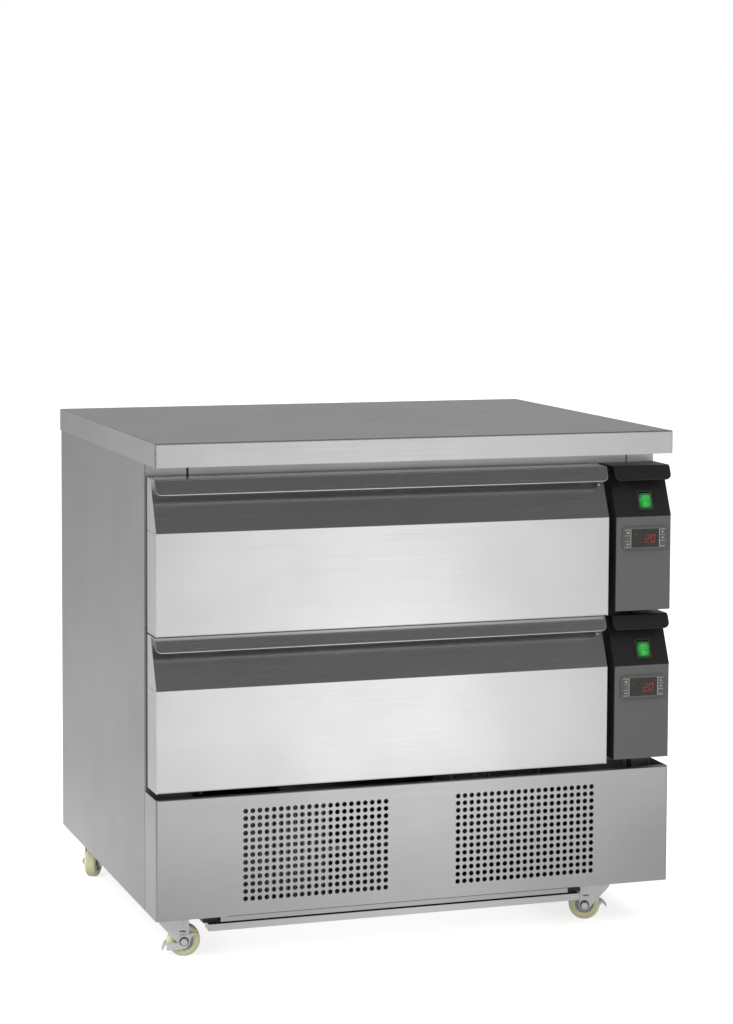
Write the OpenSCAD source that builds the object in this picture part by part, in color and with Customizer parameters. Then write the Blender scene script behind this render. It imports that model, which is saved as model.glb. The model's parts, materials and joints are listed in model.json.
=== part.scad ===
// Refrigerated drawer counter: two stacked full-width drawers over a machine base on castors.
// X is across the front, the drawers open towards -Y, Z is up from the floor.

/* [Cabinet] */
// Width of the worktop
width = 880; // [860:1:960]
// Depth of the worktop
depth = 700; // [690:1:760]
// Height of the worktop's skirt
worktop_h = 38; // [30:1:50]
// Worktop front edge ahead of the carcass front
overhang = 74; // [70:1:80]
// Thickness of the stainless sheet
sheet = 1.2; // [1:0.1:1.5]
// Side panels set in from the worktop edge
side_inset = 1; // [0.5:0.5:3]
// Width of the right side panel's front return
stile_right = 49; // [40:1:52]
// Space between the worktop and the upper drawer
top_gap = 20; // [12:1:30]
// Thickness of the insulation behind the drawers
back_wall = 58; // [45:1:62]
// Thickness of the insulated wall at the left of the drawers
side_wall = 68; // [50:1:80]

/* [Base] */
// Height of the machine base
base_h = 193.5; // [185:0.5:220]
// Gap between the base panel and the lower drawer
base_gap = 10; // [6:1:16]
// Diameter of the ventilation holes
hole_d = 8; // [6:0.5:9]
// Spacing of the ventilation holes
hole_pitch = 11.75; // [11:0.05:13]
// Columns of holes in each field
hole_cols = 21; // [15:1:23]
// Rows of holes in each field
hole_rows = 13; // [9:1:14]
// Distance from the middle of the fields to the centre of each
field_x = 179.5; // [165:0.5:190]
// Middle of the two fields from the cabinet's middle
field_mid = 4; // [-10:1:10]

/* [Drawers] */
// Height of a drawer front
front_h = 245.5; // [240:0.5:260]
// Gap between the two drawer fronts
drawer_gap = 2.5; // [2:0.5:6]
// Height of the upright face below the slope
face_h = 162.5; // [150:0.5:180]
// How far the slope leans back
slope_run = 37; // [25:1:42]
// Thickness of a drawer front
front_t = 57; // [50:1:58]
// Drawer faces set back from the worktop edge
face_setback = 1; // [0:0.5:4]
// Gap at the left of the drawers
front_side_gap = 2; // [1:0.5:4]
// Depth of the pull's top strip in front of the slope
lip_reach = 25; // [20:1:30]
// Height of the pull's lip
lip_drop = 22.5; // [18:0.5:26]
// Height of the tub walls
pan_h = 165; // [120:1:175]
// Space behind the tub of a closed drawer
tub_rear = 42; // [30:1:60]

/* [Controls] */
// Width of the column of control housings
controls_w = 98.5; // [96:0.5:104]
// Gap between the drawers and the control housings
housing_gap = 13; // [8:1:20]
// Width of the controller bezel
bezel_w = 80; // [78:0.5:84]
// Height of the controller bezel
bezel_h = 38; // [36:0.5:42]
// Width of the display window
window_w = 49; // [44:0.5:51]
// Height of the display window
window_h = 29.5; // [26:0.5:32]
// Spacing of the controller keys
key_pitch = 9.4; // [9:0.1:10]
// Width of the switch frame
switch_w = 28; // [26:0.5:32]
// Height of the switch frame
switch_h = 34; // [32:0.5:38]

/* [Castors] */
// Height from the floor to the base
castor_h = 75; // [74:1:90]
// Diameter of the castor wheels
wheel_d = 52; // [46:1:54]
// Width of the castor wheels
wheel_w = 21; // [16:1:22]
// Distance of the left swivel axes from the worktop's left edge
castor_left = 45; // [42:1:60]
// Distance of the right swivel axes from the worktop's right edge
castor_right = 101; // [90:1:120]
// Distance of the front swivel axes from the worktop's front edge
castor_front = 70; // [66:1:90]
// Distance of the rear swivel axes from the worktop's back edge
castor_rear = 85; // [70:1:110]
// Wheel centre behind the swivel axis
trail = 18; // [14:1:20]

/* [Condensate tray] */
// Left end of the tray front from the left swivel axes
tray_left = 52; // [48:1:70]
// Right end of the tray front from the right swivel axes
tray_right = 42; // [42:1:60]
// Height of the tray front
tray_h = 11; // [9:0.5:13]
// Depth of the tray
tray_d = 420; // [300:5:450]
// Tray front behind the worktop edge
tray_inset = 40; // [30:1:60]
// Bottom of the base to the top of the tray
tray_drop = 21.6; // [20:0.2:26]
// Ends of the strip above the tray in from the tray's ends
strip_inset = 20; // [15:1:40]
// How far the tray slides out
tray_travel = 300; // [150:5:300]

/* [Hidden] */
$fn = 32;
steel = [0.74, 0.75, 0.76];
inner_steel = [0.66, 0.68, 0.70];
zinc = [0.70, 0.71, 0.74];
black = [0.10, 0.10, 0.11];
plate_grey = [0.40, 0.40, 0.41];
lens_brown = [0.16, 0.14, 0.12];
key_grey = [0.62, 0.62, 0.60];
lit_green = [0.10, 0.75, 0.22];
foam = [0.93, 0.86, 0.62];
rubber = [0.13, 0.13, 0.14];
nylon = [0.86, 0.85, 0.70];
copper = [0.72, 0.45, 0.30];

// Clearances and small common sizes
seat = 0.3;
run_fit = 0.05;
run_gap = 0.4;
eps = 0.01;
bend_r = 2.2;
bend_steps = 4;
edge_r = 2.5;
cove_r = 12;

// Levels, from the floor up. Drawer 0 is the lower one, drawer 1 the upper one.
base_z = castor_h;
base_top = base_z + base_h;
function drawer_z(i) = base_top + base_gap + i * (front_h + drawer_gap);
under_top = drawer_z(1) + front_h + top_gap;
top_z = under_top + worktop_h;

// Planes, from the front edge of the worktop back. The origin is in the middle of the whole,
// which reaches from the keys of the controllers to the back edge of the worktop.
bezel_t = 3;
lens_t = 0.7;
key_proud = 0.3;
proud = max(0, bezel_t + lens_t + key_proud - face_setback);
mid_y = proud / 2;
edge_y = mid_y - depth / 2;
rear_y = mid_y + depth / 2;
face_y = edge_y + face_setback;
panel_y = edge_y + 1;
front_back_y = face_y + front_t;
carcass_y = edge_y + overhang;
back_y = rear_y - 5;
back_sheet_y = back_y - 2 * sheet - seat;
side_x = width / 2 - side_inset;

// Drawer fronts and what lines up with them
housing_x1 = width / 2 - 1.5;
housing_x0 = housing_x1 - controls_w;
front_x0 = -width / 2 + front_side_gap;
front_x1 = housing_x0 - housing_gap;
slope_h = front_h - face_h;
lean = atan(slope_run / slope_h);
lip_y = slope_run - lip_reach;
gasket_inset = 2;
gasket_w = 14;
gasket_t = carcass_y - front_back_y - seat;
gasket_x1 = front_x1 - gasket_inset;
open_z0 = gasket_inset + gasket_w;
open_z1 = front_h - open_z0;

// Drawer compartment, tub and telescopic runners
plinth_t = 4;
runner_space = 14.3;
runner_h = 45;
runner_level = 150;
liner_x0 = -side_x + sheet + side_wall;
liner_x1 = gasket_x1 - gasket_w + 0.5;
tub_x0 = liner_x0 + runner_space;
tub_x1 = liner_x1 - runner_space;
flange_t = 1.2;
flange_gap = 0.3;
open_x0 = liner_x0 + flange_t + flange_gap;
open_x1 = liner_x1 - flange_t - flange_gap;
stile_left = side_x + open_x0 - flange_t - 0.8;
tub_level = 24;
liner_t = 1;
liner_y0 = carcass_y + 3;
liner_y1 = back_y - back_wall;
tub_y0 = front_back_y + plinth_t + seat;
tub_y1 = liner_y1 - tub_rear;
runner_y0 = carcass_y + 16;
runner_y1 = liner_y1 - 7;

// Evaporator pocket at the right of each compartment
pocket_x0 = liner_x1 + liner_t;
pocket_x1 = pocket_x0 + 62;
pocket_y0 = carcass_y + 76;
pocket_y1 = liner_y1 - 36;
pocket_margin = 14;
pocket_z0 = open_z0 + pocket_margin;
pocket_h = open_z1 - open_z0 - 2 * pocket_margin;
evap_fan_d = 120;
evap_fan_y = pocket_y1 - evap_fan_d / 2 - 10;

// Control housings
housing_mid = (housing_x0 + housing_x1) / 2;
housing_drop = 6;
housing_wall = 2;
plate_t = 1.5;
bezel_level = 126.5;
bezel_mid = housing_mid + 1.5;
controller_w = 71;
controller_h = 29;
controller_d = 48;
key_w = 8.6;
key_h = 8.2;
key_clear = 0.3;
key_travel = 0.5;
key_well = 1.8;
key_col = 31.2;
key_cells = [[-1, 1], [-1, 0], [-1, -1], [1, 1], [1, 0]];
switch_level = 187;
switch_mid = housing_mid + 6.5;
switch_t = 2;
switch_d = 18;
switch_rim = 2.2;
rocker_w = 21.4;
rocker_len = 24.8;
rocker_pivot = 4;
rocker_pin_r = 1.5;
rocker_rest = 8;

// Machine base
unit_inset = 211;
unit_left = [unit_inset - side_x, edge_y + 28];
unit_right = [side_x - unit_inset, edge_y + 250];
compressor_gap = 165;
compressor_shift = 20;
coil_w = 165;
coil_t = 40;
coil_h = 165;
coil_fin_step = 6.5;
coil_bends = 4;
fan_d = 140;
fan_gap = 16;
shaft_r = 3;
shaft_h = 8;
guard_t = 3;
motor_r = 16;
motor_l = 30;
evap_motor_l = 20;
evap_frame = 140;
chassis_t = 2;

// Underframe, tray and castors
castor_x0 = castor_left - width / 2;
castor_x1 = width / 2 - castor_right;
castors = [for (y = [edge_y + castor_front, rear_y - castor_rear]) for (x = [castor_x0, castor_x1]) [x, y]];
tray_w = castor_x1 - tray_right - castor_x0 - tray_left;
underframe_x = castor_x0 + tray_left + tray_w / 2;
strip_w = tray_w - 2 * strip_inset;
tray_y0 = edge_y + tray_inset;
tray_top = base_z - tray_drop;
guide_len = tray_travel + 100;
guide_t = 1.5;
guide_box = 30;
ledge_w = 7;
guide_x = strip_w / 2 - 2;
lip_depth = 24;
strip_gap = 2.5;
pad_t = 3;
pad_w = 66;
axle_r = 4;
fork_t = 2.5;
fork_gap = 1;
brake_t = 1.6;
king_r = 6;
rise = base_z - pad_t;

function unit(v) = v / norm(v);
function turn(a) = a > 180 ? a - 360 : (a < -180 ? a + 360 : a);
function arc(c, r, a0, a1, steps) =
    [for (i = [0:steps]) let (a = a0 + (a1 - a0) * i / steps) c + r * [cos(a), sin(a)]];
// The arc that rounds the corner b between its neighbours a and c
function corner(a, b, c, r) =
    let (u = unit(a - b), v = unit(c - b), half = acos(u * v) / 2, o = b + unit(u + v) * r / sin(half),
        p = b + u * r / tan(half) - o, q = b + v * r / tan(half) - o,
        a0 = atan2(p.y, p.x), sweep = turn(atan2(q.y, q.x) - a0))
    arc(o, r, a0, a0 + sweep, bend_steps);
function rounded(path, r) =
    [path[0], for (i = [1:len(path) - 2]) each corner(path[i - 1], path[i], path[i + 1], r),
        path[len(path) - 1]];
function normal_at(p, i) =
    let (d = p[min(i + 1, len(p) - 1)] - p[max(i - 1, 0)]) [-d.y, d.x] / norm(d);
// Outline of sheet metal bent along a path, with its thickness to the path's left
function folded(path, t, r = bend_r) =
    let (p = rounded(path, r)) concat(p, [for (i = [len(p) - 1:-1:0]) p[i] + t * normal_at(p, i)]);
// Outline of a rectangle with round corners, about its middle
function box_points(w, h, r) =
    [for (k = [0:3]) let (a = 90 * k, x = k == 0 || k == 3 ? 1 : -1, y = k < 2 ? 1 : -1)
        each arc([x * (w / 2 - r), y * (h / 2 - r)], r, a, a + 90, bend_steps)];

module round_rect(w, h, r) {
    polygon(box_points(w, h, r));
}

// Extrudes a profile drawn in depth and height along X
module along_x(x0, x1) {
    translate([x0, 0, 0]) rotate([90, 0, 90]) linear_extrude(x1 - x0) children();
}

// Extrudes a shape drawn in X and Z back along Y
module along_y(y0, y1) {
    translate([0, y1, 0]) rotate([90, 0, 0]) linear_extrude(y1 - y0) children();
}

// Block with all its upright and upper edges rounded
module soft_block(w, d, h, r) {
    intersection() {
        linear_extrude(h) round_rect(w, d, r);
        along_y(-d / 2, d / 2) translate([0, (h - r) / 2]) round_rect(w, h + r, r);
        along_x(-w / 2, w / 2) translate([0, (h - r) / 2]) round_rect(d, h + r, r);
    }
}

module worktop() color(steel) {
    difference() {
        translate([0, mid_y, under_top]) soft_block(width, depth, worktop_h, edge_r);
        translate([0, mid_y, under_top + worktop_h / 2 - sheet])
            cube([width - 2 * sheet, depth - 2 * sheet, worktop_h], center = true);
        for (side = [-1, 1]) for (y = rivet_y) translate([side * width / 2, y, rivet_z]) rotate([0, 90, 0])
            cylinder(r = rivet_r + 0.4, h = 8, center = true);
    }
    translate([-width / 2 + sheet / 2, edge_y + sheet / 2, under_top])
        cube([width - sheet, overhang - seat, sheet]);
}

module rivet_head(r, h) {
    cylinder(r1 = r, r2 = 0.55 * r, h = h);
}

// Four rivets hold the worktop's skirt, eight screws hold the back panel
rivet_y = [edge_y + 164, rear_y - 146];
rivet_z = under_top + worktop_h / 2;
rivet_r = 2.2;
screw_r = 1.7;
screw_hole_r = 1.9;
screw_head_r = 3.6;
screw_head_h = 2;
screw_inset = 12;
back_screws = [for (x = [-1, 1]) for (z = [base_z + 24, base_top + 40, under_top - 240, under_top - 24])
    [x * (side_x - screw_inset), z]];
module at_back_screws() for (s = back_screws) translate([s.x, back_y, s.y]) rotate([-90, 0, 0]) children();
module back_screw_holes() at_back_screws() cylinder(r = screw_hole_r, h = 8, center = true, $fn = 16);

module rivets_and_screws() color(zinc) {
    grip = 2 * sheet + seat;
    for (side = [-1, 1]) for (y = rivet_y)
        translate([side * (width / 2 - sheet - seat), y, rivet_z]) rotate([0, side * 90, 0])
            cylinder(r = rivet_r, h = sheet);
    at_back_screws() {
        rivet_head(screw_head_r, screw_head_h);
        translate([0, 0, -grip]) cylinder(r = screw_r, h = grip, $fn = 16);
    }
}

// One side of the carcass: the outer face with its returns folded in at front and back
module side_panel(side) color(steel) {
    return_back = 22;
    stile = side < 0 ? stile_left : stile_right;
    path = [[side_x - stile, carcass_y], [side_x, carcass_y], [side_x, back_y],
        [side_x - return_back, back_y]];
    difference() {
        mirror([side < 0 ? 1 : 0, 0, 0]) translate([0, 0, base_z])
            linear_extrude(under_top - seat - base_z) polygon(folded(path, sheet));
        mirror([side < 0 ? 1 : 0, 0, 0]) translate([side_x - stile - 1, carcass_y - 1, base_z - 1])
            cube([stile + 1 - sheet, sheet + 2, chassis_t + seat + 1]);
        back_screw_holes();
    }
}

module back_panel() color(steel) {
    slot_w = 5;
    slot_h = 90;
    slots = 14;
    slot_step = 13;
    slot_field_x = 190;
    slot_z = base_z + 55;
    half = side_x - sheet - seat;
    z0 = base_z + chassis_t + seat;
    difference() {
        translate([-half, back_sheet_y, z0]) cube([2 * half, sheet, under_top - seat - z0]);
        for (side = [-1, 1]) for (i = [0:slots - 1]) {
            x = side * slot_field_x + (i - (slots - 1) / 2) * slot_step;
            translate([x - slot_w / 2, back_sheet_y - 1, slot_z]) cube([slot_w, sheet + 2, slot_h]);
        }
        back_screw_holes();
        translate([gland_x, back_sheet_y - 1, gland_z]) rotate([-90, 0, 0])
            cylinder(r = gland_r + 0.1, h = sheet + 2);
    }
}

module opening_shape(i, grow = 0) {
    w = open_x1 - open_x0 + 2 * grow;
    h = open_z1 - open_z0 + 2 * grow;
    translate([(open_x0 + open_x1) / 2, drawer_z(i) + (open_z0 + open_z1) / 2])
        round_rect(w, h, cove_r + grow);
}

// Face of the carcass between the side panels, with a flange folded into each compartment
module front_frame() color(steel) {
    seam = 2;
    flange_d = 14;
    x0 = open_x0 + 1.5;
    x1 = side_x - stile_right - seam;
    along_y(carcass_y, carcass_y + sheet) difference() {
        translate([x0, base_top + 1]) square([x1 - x0, under_top - base_top - 1 - seat]);
        for (i = [0, 1]) opening_shape(i);
    }
    for (i = [0, 1]) along_y(carcass_y, carcass_y + flange_d) difference() {
        opening_shape(i, flange_t);
        opening_shape(i);
    }
}

liner_grow = flange_t + flange_gap;
module liners() color(inner_steel) for (i = [0, 1]) difference() {
    along_y(liner_y0, liner_y1 + liner_t) opening_shape(i, liner_grow + liner_t);
    along_y(liner_y0 - 1, liner_y1) opening_shape(i, liner_grow);
    translate([liner_x1 - 2, evap_fan_y, drawer_z(i) + front_h / 2]) rotate([0, 90, 0])
        cylinder(d = evap_fan_d - 20, h = 8);
    for (k = [0:9]) translate([liner_x1 - 2, pocket_y0 + 14 + k * 20, drawer_z(i) + 60])
        cube([8, 8, 60]);
}
module underskin() color(zinc) translate([-side_x + sheet + seat, carcass_y + sheet + seat, base_top + 1])
    cube([2 * (side_x - sheet - seat), back_sheet_y - carcass_y - sheet - 2 * seat, sheet - 0.2]);

module insulation() color(foam) {
    half = side_x - sheet;
    y0 = carcass_y + sheet;
    z0 = base_top + 1 + sheet - 0.2;
    difference() {
        translate([0, (y0 + back_sheet_y) / 2, z0]) linear_extrude(top_z - sheet - seat - z0)
            round_rect(2 * half, back_sheet_y - y0, bend_r);
        for (i = [0, 1]) {
            along_y(y0 - 1, liner_y1 + liner_t) opening_shape(i, liner_grow + liner_t);
            translate([pocket_x0 - 1, pocket_y0, drawer_z(i) + pocket_z0])
                cube([pocket_x1 - pocket_x0 + 1, pocket_y1 - pocket_y0, pocket_h]);
        }
    }
}

// Comb of fins on a tube bank: w across, t deep, h high, standing on z = 0
module fin_coil(w, t, h, fin_step, bends) {
    fin_t = 0.8;
    fins = floor((w - 8) / fin_step);
    tube_r = 4;
    linear_extrude(h) {
        translate([-w / 2, -1.5]) square([w, 3]);
        for (k = [0:fins]) translate([(k - fins / 2) * fin_step - fin_t / 2, -t / 2]) square([fin_t, t]);
        for (e = [-1, 1]) translate([e * (w / 2 - 1) - 1, -t / 2]) square([2, t]);
    }
    for (e = [-1, 1]) for (k = [0:bends - 1])
        translate([e * (w / 2 - 1), 0, h * (k + 0.5) / bends]) rotate([90, 0, e * 90])
            rotate_extrude(angle = 180) translate([h / bends / 4, 0]) circle(r = tube_r, $fn = 16);
}

evap_t = 46;
evap_ends = 50;
evap_fin_step = 9;
module evaporators() color(copper) for (i = [0, 1]) {
    free_y1 = evap_fan_y - evap_fan_d / 2;
    w = free_y1 - pocket_y0 - evap_ends;
    translate([(pocket_x0 + pocket_x1) / 2, (pocket_y0 + free_y1) / 2, drawer_z(i) + pocket_z0])
        rotate([0, 0, 90]) fin_coil(w, evap_t, pocket_h - 2, evap_fin_step, coil_bends);
}

module fan_blades(d, hub_r, blade_t, pitch, blades) {
    difference() {
        union() {
            cylinder(r = hub_r, h = 14, center = true);
            intersection() {
                cylinder(d = d, h = 30, center = true);
                for (k = [0:blades - 1]) rotate([0, 0, k * 360 / blades])
                    translate([hub_r - 4, 0, 0]) rotate([pitch, 0, 0])
                        translate([0, -d * 0.14, -blade_t / 2]) cube([d / 2, d * 0.28, blade_t]);
            }
        }
        cylinder(r = shaft_r + run_fit, h = 40, center = true, $fn = 24);
    }
}

// Motor with its shaft and a four-armed wire guard in a square frame, on the Z axis, fan side up
module motor_mount(d, depth_back, frame) {
    guard_r = d / 2 + shaft_h / 2;
    cylinder(r = shaft_r, h = shaft_h, $fn = 24);
    translate([0, 0, -depth_back]) cylinder(r = motor_r, h = depth_back);
    translate([0, 0, -depth_back]) intersection() {
        translate([-frame / 2, -frame / 2, 0]) cube([frame, frame, guard_t]);
        union() {
            for (a = [45:90:315]) rotate([0, 0, a]) translate([motor_r - 6, -guard_t, 0])
                cube([frame, 2 * guard_t, guard_t]);
            for (r = [guard_r - 4, guard_r - 28]) difference() {
                cylinder(r = r, h = guard_t);
                translate([0, 0, -1]) cylinder(r = r - guard_t, h = guard_t + 2);
            }
        }
    }
}

function coil_back(u) = u.y + coil_t;
function fan_y(u) = coil_back(u) + fan_gap;
module at_fan(u) translate([u.x, fan_y(u), base_z + chassis_t + coil_h / 2]) rotate([90, 0, 0]) children();
module at_evap_fan(i)
    translate([pocket_x0 + 24, evap_fan_y, drawer_z(i) + front_h / 2]) rotate([0, -90, 0]) children();

module fan_motors() color(rubber) {
    for (u = [unit_left, unit_right]) at_fan(u) translate([0, 0, -shaft_h - seat])
        motor_mount(fan_d, motor_l, coil_w);
    for (i = [0, 1]) at_evap_fan(i) translate([0, 0, -shaft_h - seat])
        motor_mount(evap_fan_d, evap_motor_l, evap_frame);
}

module condenser_fan(u) color(black) at_fan(u) fan_blades(fan_d - 6, 20, 2, 24, 5);
module evaporator_fan(i) color(black) at_evap_fan(i) fan_blades(evap_fan_d - 8, 18, 2, 24, 5);

shell_r = 72;
compressor_h = 160;
port_l = 12;
function compressor_at(u) = [u.x - (u.x > 0 ? compressor_shift : 0), fan_y(u) + compressor_gap];

// Pipe along square turns, with a brazed elbow at each
module pipe(points, r) {
    for (i = [0:len(points) - 2]) {
        d = points[i + 1] - points[i];
        translate(points[i]) rotate([0, 90, atan2(d.y, d.x)]) cylinder(r = r, h = norm(d), $fn = 16);
    }
    for (i = [1:len(points) - 2]) translate(points[i]) sphere(r = r + run_gap, $fn = 16);
}

// Discharge line, from the compressor's port round the fan to the end plate of the condenser
pipe_r = 3;
module discharge_line(u) {
    c = compressor_at(u) - u;
    port_y = c.y - shell_r - port_l - seat;
    turn_y = port_y - 16;
    side = coil_w / 2 + 24;
    translate([0, 0, coil_h / 2]) pipe([[c.x, port_y, 0], [c.x, turn_y, 0], [side, turn_y, 0],
        [side, coil_t / 2, 0], [coil_w / 2 - 1, coil_t / 2, 0]], pipe_r);
}

// Each condenser stands on the chassis in a cowl that carries its fan motor
cowl_d = fan_gap + shaft_h + motor_l - guard_t + seat / 2;
module condensers() color(plate_grey) for (u = [unit_left, unit_right])
    translate([u.x, u.y, base_z + chassis_t]) {
        translate([0, coil_t / 2, 0]) fin_coil(coil_w, coil_t, coil_h, coil_fin_step, coil_bends);
        translate([0, coil_t, 0]) difference() {
            translate([-coil_w / 2, 0, 0]) cube([coil_w, cowl_d, coil_h]);
            translate([1 - coil_w / 2, -1, 1]) cube([coil_w - 2, cowl_d, coil_h - 2]);
            translate([0, 0, coil_h / 2]) rotate([-90, 0, 0]) cylinder(d = fan_d + 16, h = 90);
        }
        discharge_line(u);
    }

module compressor_shape() {
    r = shell_r;
    waist = 62;
    weld = 3;
    foot_h = 10.5;
    rotate_extrude() polygon(concat([[0, 12]], arc([r - 26, 38], 26, 270, 360, 6),
        [[r, waist], [r + weld, waist], [r + weld, waist + 4], [r, waist + 4]],
        arc([r - 42, compressor_h - 42], 42, 0, 90, 8), [[0, compressor_h]]));
    for (a = [45:90:315]) rotate([0, 0, a]) {
        translate([r - 24, -14, foot_h]) cube([44, 28, 3]);
        translate([r + 8, 0, 0]) cylinder(r = 8, h = foot_h + 3);
    }
    translate([r - 14, -22, 66]) cube([24, 44, 46]);
    translate([24 - r, 0, compressor_h - 40]) rotate([0, -60, 0]) cylinder(r = 4, h = 42);
    translate([0, 0, coil_h / 2]) rotate([90, 0, 0]) cylinder(r = pipe_r + 2, h = r + port_l);
}

module compressors() color(black) for (u = [unit_left, unit_right])
    translate([compressor_at(u).x, compressor_at(u).y, base_z + chassis_t]) compressor_shape();

// Rear gland for the mains lead, and the wires from the control housings to their box in the base
gland_x = side_x - 109;
gland_z = base_z + 60;
gland_r = 8;
loom_r = 4;
loom_x = housing_mid + 3;
loom_y = carcass_y - 18;
box_h = 90;
module wiring() color(black) {
    translate([gland_x, back_sheet_y, gland_z]) rotate([-90, 0, 0]) difference() {
        union() {
            translate([0, 0, -14]) cylinder(r = gland_r, h = 14 + sheet + 0.5);
            translate([0, 0, -5 - seat]) cylinder(r = 13, h = 5, $fn = 6);
            translate([0, 0, sheet + seat]) cylinder(r = 12, h = 1.6, $fn = 6);
            translate([0, 0, sheet + seat + 1.6]) cylinder(r1 = 9, r2 = 7.5, h = 1.5);
        }
        translate([0, 0, -20]) cylinder(r = 4, h = 40);
    }
    translate([loom_x, loom_y, base_z + chassis_t + box_h])
        cylinder(r = loom_r, h = drawer_z(1) + housing_drop + 40 - base_z - chassis_t - box_h);
    translate([loom_x - 32, loom_y - 15, base_z + chassis_t]) difference() {
        cube([64, 30, box_h]);
        translate([3, -1, 12]) cube([58, 2, box_h - 24]);
    }
}

corner_r = 3;
// Box of the base front: one sheet bent round both corners and folded in along its top edge,
// with two perforated fields. The strip above the tray hangs below it.
module base_front_panel() color(steel) {
    top_fold = 9;
    half = side_x;
    front_edge = half - corner_r;
    for (side = [0, 1]) mirror([side, 0, 0]) translate([0, 0, base_z]) linear_extrude(base_h)
        polygon(folded([[front_edge - 1, panel_y], [half, panel_y], [half, carcass_y - seat]],
            sheet, corner_r));
    along_y(panel_y, panel_y + sheet) difference() {
        translate([-front_edge, base_z]) square([2 * front_edge, base_h - bend_r]);
        for (side = [-1, 1]) for (i = [0:hole_cols - 1]) for (j = [0:hole_rows - 1])
            translate([field_mid + side * field_x + (i - (hole_cols - 1) / 2) * hole_pitch,
                    base_z + base_h / 2 + (j - (hole_rows - 1) / 2) * hole_pitch])
                circle(d = hole_d, $fn = 20);
    }
    translate([0, panel_y, base_top]) along_x(-front_edge, front_edge)
        polygon(folded([[0, -bend_r - 1], [0, 0], [top_fold, 0]], -sheet));
    translate([underframe_x - strip_w / 2, tray_y0 + 1, tray_top + strip_gap])
        cube([strip_w, sheet, base_z - strip_gap - tray_top]);
}

// Floor of the machine base, with the tray guides and the castor pads under it
module base_chassis() color(black) {
    half = side_x - sheet - seat;
    y0 = panel_y + sheet + seat;
    y1 = back_y - sheet - seat;
    ledge_z = tray_top - sheet - seat;
    guide_y0 = tray_y0 + sheet + 8;
    difference() {
        union() {
            translate([0, (y0 + y1) / 2, base_z]) linear_extrude(chassis_t)
                round_rect(2 * half, y1 - y0, corner_r);
            for (side = [-1, 1]) translate([underframe_x + side * guide_x, guide_y0, tray_top + seat])
                mirror([side < 0 ? 1 : 0, 0, 0]) difference() {
                    translate([-guide_t, 0, 0])
                        cube([guide_box, guide_len, base_z - tray_top - seat + eps]);
                    translate([0, guide_t, guide_t]) cube([guide_box - 2 * guide_t, tray_d, base_z]);
                }
            for (side = [-1, 1]) translate([underframe_x + side * guide_x, guide_y0, 0])
                mirror([side < 0 ? 1 : 0, 0, 0]) along_y(0, guide_len)
                    polygon([[0, base_z + eps], [0, ledge_z - guide_t], [-ledge_w, ledge_z - guide_t],
                        [-ledge_w, ledge_z], [-guide_t, ledge_z], [-guide_t, base_z + eps]]);
            for (c = castors) translate([c.x - pad_w / 2, c.y - pad_w / 2, base_z - pad_t])
                cube([pad_w, pad_w, pad_t + eps]);
        }
        for (c = castors) translate([c.x, c.y, base_z - pad_t - 1])
            cylinder(r = king_r + run_fit, h = pad_t + chassis_t + 2);
    }
}

// Shallow pan that hangs in the guides by its side flanges
module drip_tray() color(steel) translate([underframe_x, 0, 0]) {
    inner = guide_x - ledge_w - 2;
    flange = guide_x - guide_t - seat - inner;
    z0 = tray_top - tray_h;
    difference() {
        translate([-inner, tray_y0, z0]) cube([2 * inner, tray_d, tray_h]);
        translate([sheet - inner, tray_y0 + sheet, z0 + sheet])
            cube([2 * (inner - sheet), tray_d - 2 * sheet, tray_h]);
    }
    for (side = [0, 1]) mirror([side, 0, 0]) translate([inner - sheet, tray_y0 + 1, tray_top - sheet])
        cube([sheet + flange, tray_d - 1, sheet]);
    for (side = [0, 1]) mirror([side, 0, 0]) translate([tray_w / 2 - sheet, tray_y0 - eps, z0])
        along_x(0, sheet) polygon([[0, 0], [lip_depth, 2], [lip_depth, tray_h], [0, tray_h]]);
    translate([-tray_w / 2, tray_y0 - sheet, z0]) cube([tray_w, sheet + eps, tray_h]);
}

// Side view of a drawer front without its pull: u back from the face, v up from the bottom
function front_outline(t0 = 0, back = front_t, v0 = 0) =
    [[t0, v0 + t0], [t0, face_h], [slope_run + t0, front_h - t0], [back, front_h - t0], [back, v0 + t0]];

// Strip that runs forward from the top edge and folds down into the pull's lip
function pull_strip(back) =
    folded([[back, front_h], [lip_y, front_h], [lip_y - 4 * tan(lean), front_h - 4]], sheet);

// Sheet along the face and up the slope, and the strip that folds over into the pull
module skin_profile(back, v0) {
    polygon(folded([[back, v0], [0, v0], [0, face_h], [slope_run + 1, front_h]], -sheet));
    polygon(pull_strip(back));
}

// Lip of the pull: a plate parallel to the slope, hemmed, with round lower corners
module pull_lip(x0, x1) {
    r = 9;
    hem = 1.1;
    len = lip_drop / cos(lean);
    w = x1 - x0;
    translate([0, face_y + lip_y, 0]) rotate([-lean, 0, 0]) {
        translate([0, sheet, 0]) rotate([90, 0, 0]) linear_extrude(sheet)
            polygon(concat([[x1, -2], [x0, -2]], arc([x0 + r, r - len], r, 180, 270, 6),
                arc([x1 - r, r - len], r, 270, 360, 6)));
        translate([x0 + r, sheet / 2, -len]) rotate([0, 90, 0]) cylinder(r = hem, h = w - 2 * r, $fn = 16);
        for (e = [[x0 + r, 180], [x1 - r, 270]]) translate([e[0], sheet / 2, r - len]) rotate([90, 0, 0])
            rotate([0, 0, e[1]]) rotate_extrude(angle = 90) translate([r, 0]) circle(r = hem, $fn = 16);
        for (x = [x0, x1]) translate([x, sheet / 2, r - len]) cylinder(r = hem, h = len - r - 3, $fn = 16);
    }
}

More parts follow.
